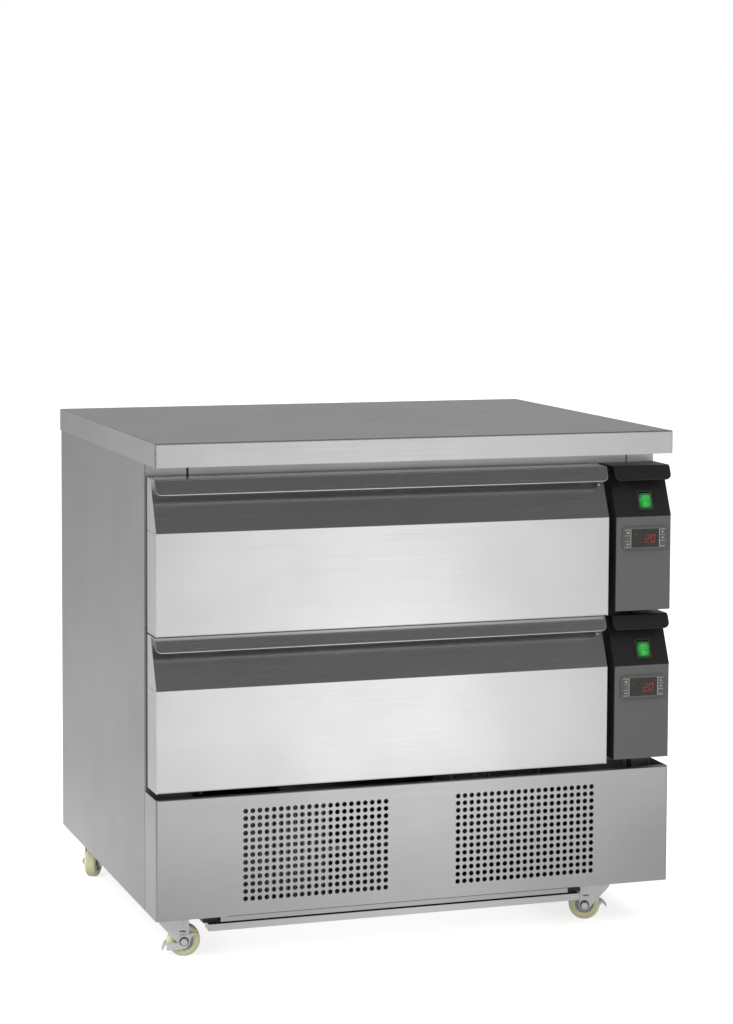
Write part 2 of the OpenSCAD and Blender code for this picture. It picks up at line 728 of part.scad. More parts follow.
module drawer_front(i) color(steel) translate([0, 0, drawer_z(i)]) {
    groove = 0.6;
    translate([0, face_y, 0]) {
        along_x(front_x0, front_x1) skin_profile(front_t, 0);
        for (x = [front_x0, front_x1 - sheet]) along_x(x, x + sheet) difference() {
            polygon(front_outline());
            translate([sheet, face_h - groove]) square([front_t, groove]);
        }
    }
    translate([0, 0, front_h]) pull_lip(front_x0 + 1, front_x1 - 1);
    translate([front_x1 - 8, face_y + slope_run - 30 * tan(lean), front_h - 30]) rotate([90 - lean, 0, 0])
        rivet_head(3, 1.6);
}

// Foam core and inner panel, with the raised plinth that carries the tub
module drawer_inner(i) color(inner_steel) translate([0, 0, drawer_z(i)]) {
    translate([0, face_y, 0]) along_x(front_x0 + sheet, front_x1 - sheet)
        polygon([[sheet, bend_r + 0.2], [sheet, face_h - 1], [sheet + 0.2, face_h],
            [slope_run + sheet + 0.9, front_h - sheet], [front_t, front_h - sheet], [front_t, sheet],
            [bend_r + 0.2, sheet]]);
    along_y(front_back_y, front_back_y + plinth_t)
        translate([(open_x0 + open_x1) / 2, (open_z0 + open_z1) / 2])
            round_rect(open_x1 - open_x0 - 12, open_z1 - open_z0 - 12, cove_r);
}

module gasket_ring(inset, w, y0, y1) {
    x0 = front_x0 + gasket_inset + inset;
    x1 = gasket_x1 - inset;
    z0 = gasket_inset + inset;
    z1 = front_h - gasket_inset - inset;
    along_y(y0, y1) translate([(x0 + x1) / 2, (z0 + z1) / 2]) difference() {
        round_rect(x1 - x0, z1 - z0, 5);
        round_rect(x1 - x0 - 2 * w, z1 - z0 - 2 * w, 3);
    }
}

// Magnetic door seal: retained foot, narrow bellows and wide magnet head
module gasket(i) color(rubber) translate([0, 0, drawer_z(i)]) {
    foot = 3;
    bellows = 6;
    y0 = front_back_y;
    gasket_ring(1, gasket_w - 2, y0, y0 + foot);
    gasket_ring(4, gasket_w - 8, y0 + foot - eps, y0 + foot + bellows + eps);
    gasket_ring(0, gasket_w, y0 + foot + bellows, y0 + gasket_t);
}

module tub_shape(grow, drop) {
    polygon(concat([[tub_x1 - sheet + grow, pan_h + drop], [tub_x0 + sheet - grow, pan_h + drop]],
        arc([tub_x0 + cove_r + sheet, cove_r + sheet], cove_r + grow, 180, 270, bend_steps),
        arc([tub_x1 - cove_r - sheet, cove_r + sheet], cove_r + grow, 270, 360, bend_steps)));
}

module tub(i) color(inner_steel) translate([0, 0, drawer_z(i) + tub_level]) difference() {
    along_y(tub_y0, tub_y1) tub_shape(sheet, 0);
    along_y(tub_y0 + sheet, tub_y1 - sheet) tub_shape(0, 1);
}

// Channel of a telescopic runner: web at s0, open towards s1, half-height hh
module channel(s0, s1, hh, t) {
    along_y(runner_y0, runner_y1) difference() {
        translate([min(s0, s1), -hh]) square([abs(s1 - s0), 2 * hh]);
        translate([s1 > s0 ? s0 + t : s1 - 1, t - hh]) square([abs(s1 - s0) - t + 1, 2 * (hh - t)]);
    }
}

module runner_pair(i, s0, s1, hh, t) translate([0, 0, drawer_z(i) + runner_level]) {
    translate([liner_x0, 0, 0]) channel(s0, s1, hh, t);
    translate([liner_x1, 0, 0]) mirror([1, 0, 0]) channel(s0, s1, hh, t);
}

outer_t = 1.5;
member_t = 1.2;
outer_half = runner_h / 2;
middle_half = outer_half - outer_t - seat;
inner_half = middle_half - member_t - seat;
module runner_outer() color(zinc) for (i = [0, 1]) runner_pair(i, 0, 11.5, outer_half, outer_t);
module runner_middle(i) color(zinc) runner_pair(i, outer_t + seat, 11.8, middle_half, member_t);
module runner_inner(i) color(zinc) runner_pair(i, runner_space - seat, 5, inner_half, member_t);

// Shell of a control housing: the drawer profile carried across, open towards the carcass
module control_housings() color(black) for (i = [0, 1]) translate([0, 0, drawer_z(i)]) {
    back = overhang - face_setback - seat;
    roof = front_h - housing_wall - 2;
    v0 = housing_drop;
    difference() {
        union() {
            translate([0, face_y, 0]) {
                along_x(housing_x0, housing_x1) polygon([[plate_t, v0], [plate_t, face_h - 0.5],
                    [0, face_h - 0.5], [0, face_h], [slope_run, front_h], [back, front_h], [back, v0]]);
                along_x(housing_x0 - 0.5, housing_x1 + 0.5)
                    polygon(pull_strip(back));
            }
            translate([0, 0, front_h]) pull_lip(housing_x0 + 0.6, housing_x1 + 0.4);
        }
        translate([0, face_y, 0]) along_x(housing_x0 + housing_wall, housing_x1 - housing_wall)
            polygon([[plate_t + housing_wall, v0 + housing_wall], [plate_t + housing_wall, face_h],
                [slope_run + housing_wall, roof], [back + 1, roof], [back + 1, v0 + housing_wall]]);
        translate([bezel_mid, face_y, bezel_level])
            cube([controller_w + 2, 20, controller_h + 2], center = true);
        translate([loom_x, loom_y, -1]) cylinder(r = loom_r + seat, h = 20);
        if (i == 0) translate([loom_x, loom_y, front_h - 10]) cylinder(r = loom_r + seat, h = 20);
        at_switch() cube([switch_w - 2 * switch_rim + run_gap, 16, switch_h - 2 * switch_rim + run_gap],
            center = true);
    }
}

module control_plates() color(plate_grey) for (i = [0, 1]) along_y(face_y, face_y + plate_t) difference() {
    translate([housing_x0 + 0.8, drawer_z(i) + housing_drop])
        square([controls_w - 1.2, face_h - 0.5 - housing_drop - seat]);
    translate([bezel_mid, drawer_z(i) + bezel_level])
        square([controller_w + 1, controller_h + 1], center = true);
}

module at_bezel(i) translate([bezel_mid, face_y, drawer_z(i) + bezel_level]) children();

// Controller: rounded bezel on the plate, with its case going back through the cut-out
module controller_bodies() color(plate_grey) for (i = [0, 1]) at_bezel(i) difference() {
    union() {
        along_y(-bezel_t, 0) round_rect(bezel_w, bezel_h, 6);
        along_y(-bezel_t - 0.5, -bezel_t + eps) round_rect(bezel_w - 3, bezel_h - 3, 5);
        along_y(-eps, controller_d) square([controller_w, controller_h], center = true);
    }
    along_y(-bezel_t - 2, -bezel_t + 0.6) round_rect(window_w + 0.4, window_h + 0.4, 1.6);
    for (c = key_cells) at_key(c) along_y(-bezel_t - 2, key_well - bezel_t)
        round_rect(key_w + 2 * key_clear, key_h + 2 * key_clear, 1);
}

module display_windows() color(lens_brown) for (i = [0, 1]) at_bezel(i)
    along_y(-bezel_t - lens_t, -bezel_t + 0.6) round_rect(window_w, window_h, 1.4);

module at_key(c) translate([c.x * key_col, 0, c.y * key_pitch]) children();
module key(i, k) color(key_grey) at_bezel(i) at_key(key_cells[k - 1])
    along_y(-bezel_t - lens_t - key_proud, key_well - bezel_t - key_travel - 0.1)
        round_rect(key_w, key_h, 0.8);

module at_switch() {
    translate([switch_mid, face_y + slope_run * (switch_level - face_h) / slope_h, switch_level])
        rotate([-lean, 0, 0]) children();
}

module switch_frame() difference() {
    union() {
        along_y(-switch_t, 0) round_rect(switch_w, switch_h, switch_t);
        along_y(-eps, switch_d) square([switch_w - 2 * switch_rim, switch_h - 2 * switch_rim], center = true);
    }
    along_y(-switch_t - 1, switch_d - 4) square([rocker_w + 2 * seat, rocker_len + 3], center = true);
    translate([0, rocker_pivot, 0]) rotate([0, 90, 0])
        cylinder(r = rocker_pin_r + run_fit, h = rocker_w + 1.6, center = true, $fn = 24);
}
module switch_frames() color(black) for (i = [0, 1]) translate([0, 0, drawer_z(i)]) at_switch()
    switch_frame();

// Lit rocker: a shallow V that tips on its pin
module rocker(i) color(lit_green) translate([0, 0, drawer_z(i)]) at_switch() translate([0, rocker_pivot, 0])
    rotate([rocker_rest, 0, 0]) {
        h = rocker_len / 2;
        along_x(-rocker_w / 2, rocker_w / 2)
            polygon([[-7.2, h], [-5.6, 0], [-7.2, -h], [-3, -h], [3.5, -h * 0.6], [3.5, h * 0.6], [-3, h]]);
        rotate([0, 90, 0]) cylinder(r = rocker_pin_r, h = rocker_w + 1.2, center = true, $fn = 24);
    }

// How each castor stands at rest: the heading of its trailing wheel
headings = [-12, 160, 240, 300];
module at_castor(k) translate([castors[k].x, castors[k].y, 0]) rotate([0, 0, headings[k]]) children();

// Swivel fork: king pin, ball race and a fork pressed from one sheet, whose cheeks bend in behind the
// wheel and meet. Where there is a brake, a slot is stamped in each cheek.
module castor_fork(k) color(zinc) at_castor(k) {
    leg_y = wheel_w / 2 + fork_gap;
    out_y = leg_y + fork_t;
    crown_z = rise - 11;
    axle_z = wheel_d / 2;
    tail = -24;
    nose = trail + 9;
    bend_x = trail - 16;
    waist = 5.5;
    braked = k < 2;
    cheek_room = braked ? brake_t + 2 * seat : 0;
    translate([0, 0, rise - 3]) cylinder(r = king_r, h = pad_t + chassis_t + 3);
    translate([0, 0, rise - 8]) cylinder(r = 22, h = 8 - seat);
    translate([0, 0, crown_z]) cylinder(r1 = 15, r2 = 18, h = 4);
    intersection() {
        difference() {
            translate([0, 0, axle_z - 12]) linear_extrude(crown_z + 3 - axle_z + 12)
                polygon(folded([[nose, out_y], [bend_x, out_y], [tail, waist + fork_t],
                    [tail, -waist - fork_t], [bend_x, -out_y], [nose, -out_y]], fork_t, 5));
            if (braked) translate([trail - 7, -out_y - 1, axle_z + 15]) cube([10, 2 * out_y + 2, 2.6]);
        }
        along_y(-out_y - 1, out_y + 1)
            polygon(concat([[tail - 1, crown_z + 3], [tail - 1, crown_z - 3]],
                arc([trail, axle_z], 9, 215, 360, 8), [[nose - 1, crown_z - 6], [nose - 1, crown_z + 3]]));
    }
    translate([0, 0, crown_z]) linear_extrude(3)
        polygon([[tail + 2, -waist - 1], [bend_x, 1 - out_y], [nose - 2, 1 - out_y],
            [nose - 2, out_y - 1], [bend_x, out_y - 1], [tail + 2, waist + 1]]);
    translate([trail, 0, axle_z]) rotate([90, 0, 0]) {
        cylinder(r = axle_r, h = 2 * (out_y + cheek_room + 5.5), center = true);
        for (side = [0, 1]) mirror([0, 0, side]) translate([0, 0, out_y + cheek_room - eps])
            cylinder(r = 6.2, h = 4.2, $fn = 6);
    }
}

module castor_wheel(k) color(nylon) at_castor(k) translate([trail, 0, wheel_d / 2]) rotate([90, 0, 0]) {
    r = wheel_d / 2;
    hub_r = 0.58 * r;
    half = wheel_w / 2;
    bulge = 6;
    rotate_extrude() polygon(concat([[hub_r + 0.05, -half + 2], [r - bulge, -half]],
        arc([r - bulge, bulge - half], bulge, 270, 360, 5), arc([r - bulge, half - bulge], bulge, 0, 90, 5),
        [[hub_r + 0.05, half - 2]]));
    rotate_extrude() polygon([[axle_r + run_fit, -half], [9, -half], [9, -half + 3], [hub_r, -half + 4],
        [hub_r, half - 4], [9, half - 3], [9, half], [axle_r + run_fit, half]]);
}

// Toe brake: two cheeks that turn on the axle bolt, joined by the pedal in front of the wheel.
// The left one is pressed down, the right one is up.
brake_swing = 15;
module at_axle(swing) translate([trail, 0, wheel_d / 2]) rotate([0, swing, 0]) children();
module brake_lever(k) color(zinc) at_castor(k) at_axle(k * brake_swing) {
    inner = wheel_w / 2 + fork_gap + fork_t + seat;
    reach = wheel_d / 2 + 12;
    for (side = [0, 1]) mirror([0, side, 0]) along_y(inner, inner + brake_t) difference() {
        union() {
            circle(r = 8);
            polygon([[-4, 7.5], [-reach, -2], [-reach, -10], [2, -8]]);
            polygon([[0, 7.8], [5, 10], [17, 15], [18, 13], [11, 5], [8, -2], [0, -7]]);
        }
        circle(r = axle_r + run_fit);
    }
    pedal_w = 2 * (inner + brake_t);
    translate([0, pedal_w / 2, 0]) rotate([90, 0, 0]) linear_extrude(pedal_w)
        polygon(folded([[2 - reach, -6], [-reach - 7, -8], [-reach - 13, -14]], 2, 3));
}

worktop();
rivets_and_screws();
side_panel(-1);  // side_panel_left
side_panel(1);  // side_panel_right
back_panel();
front_frame();
insulation();
union() {
    liners();
    underskin();
}
evaporators();
fan_motors();
runner_outer();
base_chassis();
base_front_panel();
compressors();
condensers();
control_housings();
control_plates();
controller_bodies();
display_windows();
switch_frames();
wiring();
drawer_front(1);  // drawer_front_upper
drawer_front(0);  // drawer_front_lower
drawer_inner(1);  // drawer_inner_upper
drawer_inner(0);  // drawer_inner_lower
gasket(1);  // gasket_upper
gasket(0);  // gasket_lower
tub(1);  // tub_upper
tub(0);  // tub_lower
runner_inner(1);  // runner_inner_upper
runner_inner(0);  // runner_inner_lower
runner_middle(1);  // runner_middle_upper
runner_middle(0);  // runner_middle_lower
rocker(1);  // rocker_upper
rocker(0);  // rocker_lower
for (k = [1:5]) {
    key(1, k);
    key(0, k);
}
condenser_fan(unit_left);  // condenser_fan_left
condenser_fan(unit_right);  // condenser_fan_right
evaporator_fan(1);  // evaporator_fan_upper
evaporator_fan(0);  // evaporator_fan_lower
drip_tray();
castor_fork(0);  // castor_fork_front_left
castor_fork(1);  // castor_fork_front_right
castor_fork(2);  // castor_fork_rear_left
castor_fork(3);  // castor_fork_rear_right
castor_wheel(0);  // castor_wheel_front_left
castor_wheel(1);  // castor_wheel_front_right
castor_wheel(2);  // castor_wheel_rear_left
castor_wheel(3);  // castor_wheel_rear_right
brake_lever(0);  // brake_lever_left
brake_lever(1);  // brake_lever_right
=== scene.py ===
"""Dresses a refrigerated drawer counter: its sheet steel, moulded controls, displays, castors and studio."""

import json
import math

import bmesh
import bpy
from bpy.props import FloatProperty, FloatVectorProperty, PointerProperty
from bpy.types import Operator, Panel, PropertyGroup
from mathutils import Matrix, Vector


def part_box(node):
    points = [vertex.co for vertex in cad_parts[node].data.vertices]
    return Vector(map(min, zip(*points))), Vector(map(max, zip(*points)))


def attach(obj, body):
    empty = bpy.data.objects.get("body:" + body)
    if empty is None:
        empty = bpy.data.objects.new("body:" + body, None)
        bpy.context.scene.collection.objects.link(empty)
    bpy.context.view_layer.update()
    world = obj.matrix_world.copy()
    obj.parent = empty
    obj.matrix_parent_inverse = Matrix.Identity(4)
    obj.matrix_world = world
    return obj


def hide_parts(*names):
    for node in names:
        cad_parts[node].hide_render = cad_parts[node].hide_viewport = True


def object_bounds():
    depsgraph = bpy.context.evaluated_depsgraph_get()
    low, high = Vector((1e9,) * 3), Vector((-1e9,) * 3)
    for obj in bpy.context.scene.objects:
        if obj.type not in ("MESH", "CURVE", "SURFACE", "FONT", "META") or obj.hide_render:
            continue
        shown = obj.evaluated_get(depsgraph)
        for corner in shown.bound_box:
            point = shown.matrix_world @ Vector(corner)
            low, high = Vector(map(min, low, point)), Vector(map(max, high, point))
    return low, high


bl_info = {
    "name": "Refrigerated Drawer Counter",
    "version": (1, 0, 0),
    "blender": (4, 5, 0),
    "location": "3D View > Sidebar > Counter",
    "description": "Finishes, displays, key prints and studio of a two-drawer refrigerated counter",
    "category": "Object",
}

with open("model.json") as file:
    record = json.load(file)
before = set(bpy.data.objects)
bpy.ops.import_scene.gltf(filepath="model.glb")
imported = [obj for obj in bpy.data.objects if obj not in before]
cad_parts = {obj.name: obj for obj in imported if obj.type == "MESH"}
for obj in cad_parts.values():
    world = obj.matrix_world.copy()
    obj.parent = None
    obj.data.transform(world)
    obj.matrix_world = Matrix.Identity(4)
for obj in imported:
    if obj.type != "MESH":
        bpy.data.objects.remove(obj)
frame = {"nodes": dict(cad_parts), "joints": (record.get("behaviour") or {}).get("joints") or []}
cad_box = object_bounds()
NODES = frame["nodes"]
JOINTS = {joint["name"]: joint for joint in frame["joints"]}
MM = 0.001
LEVELS = ("upper", "lower")
CORNERS = ("front_left", "front_right", "rear_left", "rear_right")
KEY_NUMBERS = range(1, 6)


def linear(code):
    """An sRGB hex colour as linear red, green and blue."""
    channels = [int(code[i : i + 2], 16) / 255 for i in (0, 2, 4)]
    return tuple(c / 12.92 if c <= 0.04045 else ((c + 0.055) / 1.055) ** 2.4 for c in channels)


def opaque(colour):
    """A colour with full alpha, as node sockets take it."""
    return (*colour, 1.0)


def colour_property(name, description, code):
    """A colour that the user can change, with its default given as sRGB hex."""
    return FloatVectorProperty(
        name=name, description=description, subtype="COLOR", size=3, min=0, max=1, default=linear(code)
    )


def length_property(name, description, default_mm):
    """A length that the user can change, with its default given in millimetres."""
    return FloatProperty(
        name=name, description=description, unit="LENGTH", min=0, precision=4, default=default_mm * MM
    )


class CounterFinishes(PropertyGroup):
    """Colours of the counter's surfaces."""

    worktop: colour_property("Worktop", "Brushed stainless steel of the worktop", "DADADA")
    panel: colour_property("Panels", "Brushed stainless steel of the side, back and face panels", "C8C8C8")
    front: colour_property("Fronts", "Brushed stainless steel of the drawer fronts and the tray", "E0E0E0")
    # The base is toned darker than the drawer fronts, to paint the shade that falls close to the floor
    base: colour_property("Base", "Brushed stainless steel of the perforated base", "CCCCCC")
    inside: colour_property("Inside", "Mill-finish stainless steel of tubs and liners", "C9CBCD")
    zinc: colour_property("Zinc", "Zinc plating of castors, runners and screws", "ECEDEE")
    # The foam's colour is darker than real foam: it paints the shade in the seams where the foam shows
    # through
    foam: colour_property("Foam", "Rigid polyurethane foam between the skins", "5B5444")
    chassis: colour_property("Chassis", "Black powder coat under the base", "262627")
    housing: colour_property("Housings", "Black moulded control housings", "242424")
    plate: colour_property("Plates", "Grey lacquered control plates", "6C6C6C")
    controller: colour_property("Controllers", "Grey moulded controller bezels", "626262")
    window: colour_property("Windows", "Smoked acrylic of the displays", "2B2620")
    key: colour_property("Keys", "Silicone keys of the controllers", "656564")
    print: colour_property("Prints", "Cream lines printed round the keys", "C9C8BC")
    digits: colour_property("Digits", "Lit segments of the displays", "A8261C")
    rocker: colour_property("Rockers", "Lit green switch rockers", "1C8A30")
    gasket: colour_property("Gaskets", "Soft PVC of the drawer seals", "3A3B3C")
    tyre: colour_property("Tyres", "Cream polyamide of the castor wheels", "FAF8CC")
    core: colour_property("Wheel cores", "Grey moulded cores of the castor wheels", "B4B7BA")
    # The washers' black also paints the dark rings of shade round the bolt heads and nuts
    washer: colour_property("Washers", "Blackened washers on the castors' axles", "2A2A2B")
    # The joint lines round the base are painted shade: dark beads where there are only gaps
    shade_line: colour_property("Joint shade", "Sealed joints round the base", "4A4B4C")
    switch: colour_property("Switch frames", "Moulded frames of the rocker switches", "383837")
    rocker_print: colour_property("Rocker prints", "Pale marks on the rockers", "86B98A")
    # The unlit bars carry a faint painted glow, though no lamp lights them
    unlit: colour_property("Unlit digits", "Bars of the displays that aren't lit", "38281E")
    lamp: colour_property("Status lamps", "Lit status lamps of the displays", "5C7A28")
    evaporator: colour_property("Evaporators", "Fins of the evaporators", "C9B9A4")
    condenser: colour_property("Condensers", "Fins of the condensers", "C4C6C8")
    fan: colour_property("Fans", "Moulded fans and their motors", "232324")
    cable: colour_property("Cables", "Sheath of the wiring", "202021")


class CounterDetails(PropertyGroup):
    """Sizes of the small pieces on the counter."""

    digit_height: length_property("Digit height", "Height of a display digit", 13.2)
    digit_width: length_property("Digit width", "Width of a display digit", 7.0)
    digit_gap: length_property("Digit gap", "Space between two display digits", 2.6)
    segment_width: length_property("Segment width", "Width of one lit bar", 0.95)
    print_line: length_property("Print line", "Width of the lines printed round the keys", 0.8)
    print_depth: length_property("Print depth", "How far prints stand on their surface", 0.05)
    lamp_dot: length_property("Lamp dot", "Diameter of the small status lamps", 1.5)


def power_property(name, description, default):
    """The power of a lamp that the user can change."""
    return FloatProperty(name=name, description=description, unit="POWER", min=0, default=default)


class CounterStudio(PropertyGroup):
    """The floor, the lamps and the sky round the counter."""

    sky: FloatProperty(
        name="Sky", description="Strength of the even light from all round", min=0, default=0.68
    )
    key_power: power_property("Key lamp", "Power of the large lamp at the front left", 70)
    top_power: power_property("Top lamp", "Power of the large lamp overhead", 45)
    side_power: power_property("Side lamp", "Power of the weak low lamp that the left panel mirrors", 1.1)
    floor_size: FloatProperty(
        name="Floor", description="Side of the square floor", unit="LENGTH", min=1, default=40
    )


def add(tree, kind, settings=None, inputs=None):
    """Adds a node to a tree, sets its properties, and sets or links its inputs."""
    node = tree.nodes.new(kind)
    for key, value in (settings or {}).items():
        setattr(node, key, value)
    for key, value in (inputs or {}).items():
        if isinstance(value, bpy.types.NodeSocket):
            tree.links.new(value, node.inputs[key])
        else:
            node.inputs[key].default_value = value
    return node


def new_material(name):
    """A material with an empty tree, and the coordinates that its patterns follow, in metres."""
    material = bpy.data.materials.new(name)
    material.use_nodes = True
    tree = material.node_tree
    tree.nodes.clear()
    return material, tree, add(tree, "ShaderNodeTexCoord").outputs


def shade(tree, sockets):
    """Ends a tree with one Principled shader. What is the same all over stands on its own sockets."""
    shader = add(tree, "ShaderNodeBsdfPrincipled", inputs=sockets)
    add(tree, "ShaderNodeOutputMaterial", inputs={"Surface": shader.outputs["BSDF"]})


# In a mix node, input 0 is the amount. Inputs 2 and 3 are the ends of a float mix, 4 and 5 of a vector mix,
# and 6 and 7 of a colour mix


def per_mm(feature_mm):
    """The scale of a pattern whose features are feature_mm across."""
    return 1 / (feature_mm * MM)


def blotchy(points, feature_mm, detail=2.0, roughness=0.5):
    """What a noise takes for blotches about feature_mm across."""
    return {"Vector": points, "Scale": per_mm(feature_mm), "Detail": detail, "Roughness": roughness}


def stretched(value, low, high):
    """What a range takes to bring a noise value, which stays between 0.3 and 0.7, to low and high."""
    return {"Value": value, "From Min": 0.3, "From Max": 0.7, "To Min": low, "To Max": high}


def toned(amount, colour, darkest, lightest):
    """What a colour mix takes for one colour, darker and lighter as the amount goes from 0 to 1."""
    dark = opaque([c * darkest for c in colour])
    light = opaque([min(1, c * lightest) for c in colour])
    return {0: amount, 6: dark, 7: light}


def relief(height, depth_mm, strength=1.0):
    """What a bump takes for relief of depth_mm."""
    return {"Height": height, "Distance": depth_mm * MM, "Strength": strength}


def set_stops(ramp, stops):
    """Gives a colour ramp its stops, each a place and a colour, and returns its colour."""
    elements = ramp.color_ramp.elements
    while len(elements) < len(stops):
        elements.new(0.5)
    for element, (place, colour) in zip(elements, stops):
        element.position = place
        element.color = opaque(colour)
    return ramp.outputs["Color"]


def mottled(name, colour, sockets, blotches, tones, grain, depth_mm, gloss=None):
    """A material whose colour follows blotches on the piece, and whose relief follows a finer grain.

    Blotches and grain each hold a size in millimetres and the detail of their noise, and tones how dark and
    how light the colour goes. Gloss, where it is given, is the least and greatest roughness of the blotches.
    """
    material, tree, coords = new_material(name)
    clouds = add(tree, "ShaderNodeTexNoise", inputs=blotchy(coords["Object"], *blotches)).outputs["Fac"]
    pebble = add(tree, "ShaderNodeTexNoise", inputs=blotchy(coords["Object"], *grain)).outputs["Fac"]
    tint = add(tree, "ShaderNodeMix", {"data_type": "RGBA"}, toned(clouds, colour, *tones))
    bumps = add(tree, "ShaderNodeBump", inputs=relief(pebble, depth_mm))
    patterns = {"Base Color": tint.outputs[2], "Normal": bumps.outputs["Normal"]}
    if gloss:
        sheen = add(tree, "ShaderNodeMapRange", inputs=stretched(clouds, *gloss))
        patterns["Roughness"] = sheen.outputs["Result"]
    shade(tree, {**sockets, **patterns})
    return material


def grain_points(tree, coords, line_mm, run_mm):
    """Points squeezed so that noise draws brush lines: along X, or along Y where a face looks sideways."""
    across = run_mm / line_mm
    lengthwise = {"Vector": coords["Object"], "Scale": (1, across, across)}
    depthwise = {"Vector": coords["Object"], "Scale": (across, 1, across)}
    normal = add(tree, "ShaderNodeSeparateXYZ", inputs={0: coords["Normal"]})
    turned = add(tree, "ShaderNodeMath", {"operation": "ABSOLUTE"}, {0: normal.outputs["X"]})
    sideways = add(tree, "ShaderNodeMath", {"operation": "GREATER_THAN"}, {0: turned.outputs[0], 1: 0.7})
    ends = {
        0: sideways.outputs[0],
        4: add(tree, "ShaderNodeMapping", inputs=lengthwise).outputs[0],
        5: add(tree, "ShaderNodeMapping", inputs=depthwise).outputs[0],
    }
    return add(tree, "ShaderNodeMix", {"data_type": "VECTOR"}, ends).outputs[1]


def brushed_stainless(name, colour, smooth, rough):
    """Stainless sheet, belt-brushed lengthways: parallel scratches, faint clouding from handling.

    Real scratches are under 0.1 mm wide. They are drawn about 1 mm wide, so that they show from a step away.
    """
    line_mm = 1.0
    run_mm = 200
    cloud_mm = 130
    contrast = 0.022
    material, tree, coords = new_material(name)
    brushing = blotchy(grain_points(tree, coords, line_mm, run_mm), run_mm, detail=5, roughness=0.65)
    lines = add(tree, "ShaderNodeTexNoise", inputs=brushing).outputs["Fac"]
    handling = blotchy(coords["Object"], cloud_mm, detail=3)
    clouds = add(tree, "ShaderNodeTexNoise", inputs=handling).outputs["Fac"]
    depth = add(tree, "ShaderNodeMapRange", inputs=stretched(lines, 0, 1)).outputs["Result"]
    tones = toned(depth, colour, 1 - contrast, 1 + contrast)
    brushed = add(tree, "ShaderNodeMix", {"data_type": "RGBA"}, tones).outputs[2]
    wear = add(tree, "ShaderNodeMapRange", inputs=stretched(clouds, 0.95, 1.03)).outputs["Result"]
    clouded = add(tree, "ShaderNodeVectorMath", {"operation": "SCALE"}, {0: brushed, "Scale": wear})
    sheen = add(tree, "ShaderNodeMapRange", inputs=stretched(lines, smooth, rough))
    scratches = add(tree, "ShaderNodeBump", inputs=relief(lines, 0.008, strength=0.3))
    patterns = {"Base Color": clouded.outputs["Vector"], "Normal": scratches.outputs["Normal"]}
    shade(tree, {"Metallic": 1.0, "Roughness": sheen.outputs["Result"], **patterns})
    return material


def mill_stainless(name, colour):
    """Stainless sheet as rolled: a soft even sheen with a fine pebble and faint flow marks from pressing."""
    looks = {"blotches": (60, 3), "tones": (0.93, 1.05), "grain": (0.9, 2), "depth_mm": 0.006}
    return mottled(name, colour, {"Metallic": 1.0}, gloss=(0.3, 0.42), **looks)


def zinc_plate(name, colour):
    """Bright zinc plating on pressed steel: a cool sheen, faintly blotched, with traces of the press."""
    looks = {"blotches": (7, 4, 0.6), "tones": (0.93, 1.04), "grain": (1.1, 3), "depth_mm": 0.006}
    return mottled(name, colour, {"Metallic": 0.55}, gloss=(0.26, 0.36), **looks)


def powder_coat(name, colour):
    """Baked powder coat: slightly glossy, with the orange peel that the melted powder leaves."""
    sockets = {"Roughness": 0.42, "Coat Weight": 0.15, "Coat Roughness": 0.3}
    return mottled(
        name, colour, sockets, blotches=(40, 3), tones=(0.85, 1.15), grain=(1.8, 2), depth_mm=0.05
    )


def moulded_plastic(name, colour, roughness, spark_mm=0.5, depth_mm=0.012):
    """Injection-moulded plastic: an even colour under the fine spark texture of the mould.

    The real texture is about 0.1 mm across. It is drawn coarser, so that it shows close by.
    """
    looks = {"blotches": (35, 2), "tones": (0.94, 1.06), "grain": (spark_mm, 2, 0.6)}
    return mottled(name, colour, {"Roughness": roughness}, depth_mm=depth_mm, **looks)


def soft_pvc(name, colour):
    """Extruded soft PVC: dull, slightly uneven, with the fine unevenness that the die leaves."""
    sockets = {"Roughness": 0.62, "Sheen Weight": 0.15}
    return mottled(
        name, colour, sockets, blotches=(25, 2), tones=(0.85, 1.15), grain=(1.4, 3), depth_mm=0.03
    )


def finned_metal(name, colour, roughness):
    """Thin rolled fins: dull light edges and faint waves from the punching of the tube holes."""
    sockets = {"Metallic": 0.3, "Roughness": roughness}
    return mottled(name, colour, sockets, blotches=(9, 3), tones=(0.75, 1.15), grain=(5, 2), depth_mm=0.1)


def silk_lacquer(name, colour):
    """Silk-gloss lacquer with metallic flake, sprayed on a flat plate.

    Real flakes are under 0.1 mm wide. They are drawn 0.45 mm wide, so that they show.
    """
    flake_mm = 0.45
    peel_mm = 1.2
    material, tree, coords = new_material(name)
    cells = {"Vector": coords["Object"], "Scale": per_mm(flake_mm)}
    flakes = add(tree, "ShaderNodeTexVoronoi", inputs=cells).outputs["Color"]
    grey = add(tree, "ShaderNodeRGBToBW", inputs={0: flakes}).outputs[0]
    tint = add(tree, "ShaderNodeMix", {"data_type": "RGBA"}, toned(grey, colour, 0.93, 1.09))
    peel = add(tree, "ShaderNodeTexNoise", inputs=blotchy(coords["Object"], peel_mm)).outputs["Fac"]
    bumps = add(tree, "ShaderNodeBump", inputs=relief(peel, 0.008))
    patterns = {"Base Color": tint.outputs[2], "Normal": bumps.outputs["Normal"]}
    shade(tree, {"Roughness": 0.48, "Metallic": 0.2, **patterns})
    return material


def smoked_acrylic(name, colour):
    """Smoked acrylic pane: near black, polished, with the warm tint of the filter in front of the digits."""
    material, tree, coords = new_material(name)
    depth = add(tree, "ShaderNodeTexNoise", inputs=blotchy(coords["Object"], 22, detail=1)).outputs["Fac"]
    tint = add(tree, "ShaderNodeMix", {"data_type": "RGBA"}, toned(depth, colour, 0.8, 1.2))
    polish = {"Roughness": 0.09, "IOR": 1.49, "Coat Weight": 0.3, "Coat Roughness": 0.05}
    shade(tree, {"Base Color": tint.outputs[2], **polish})
    return material


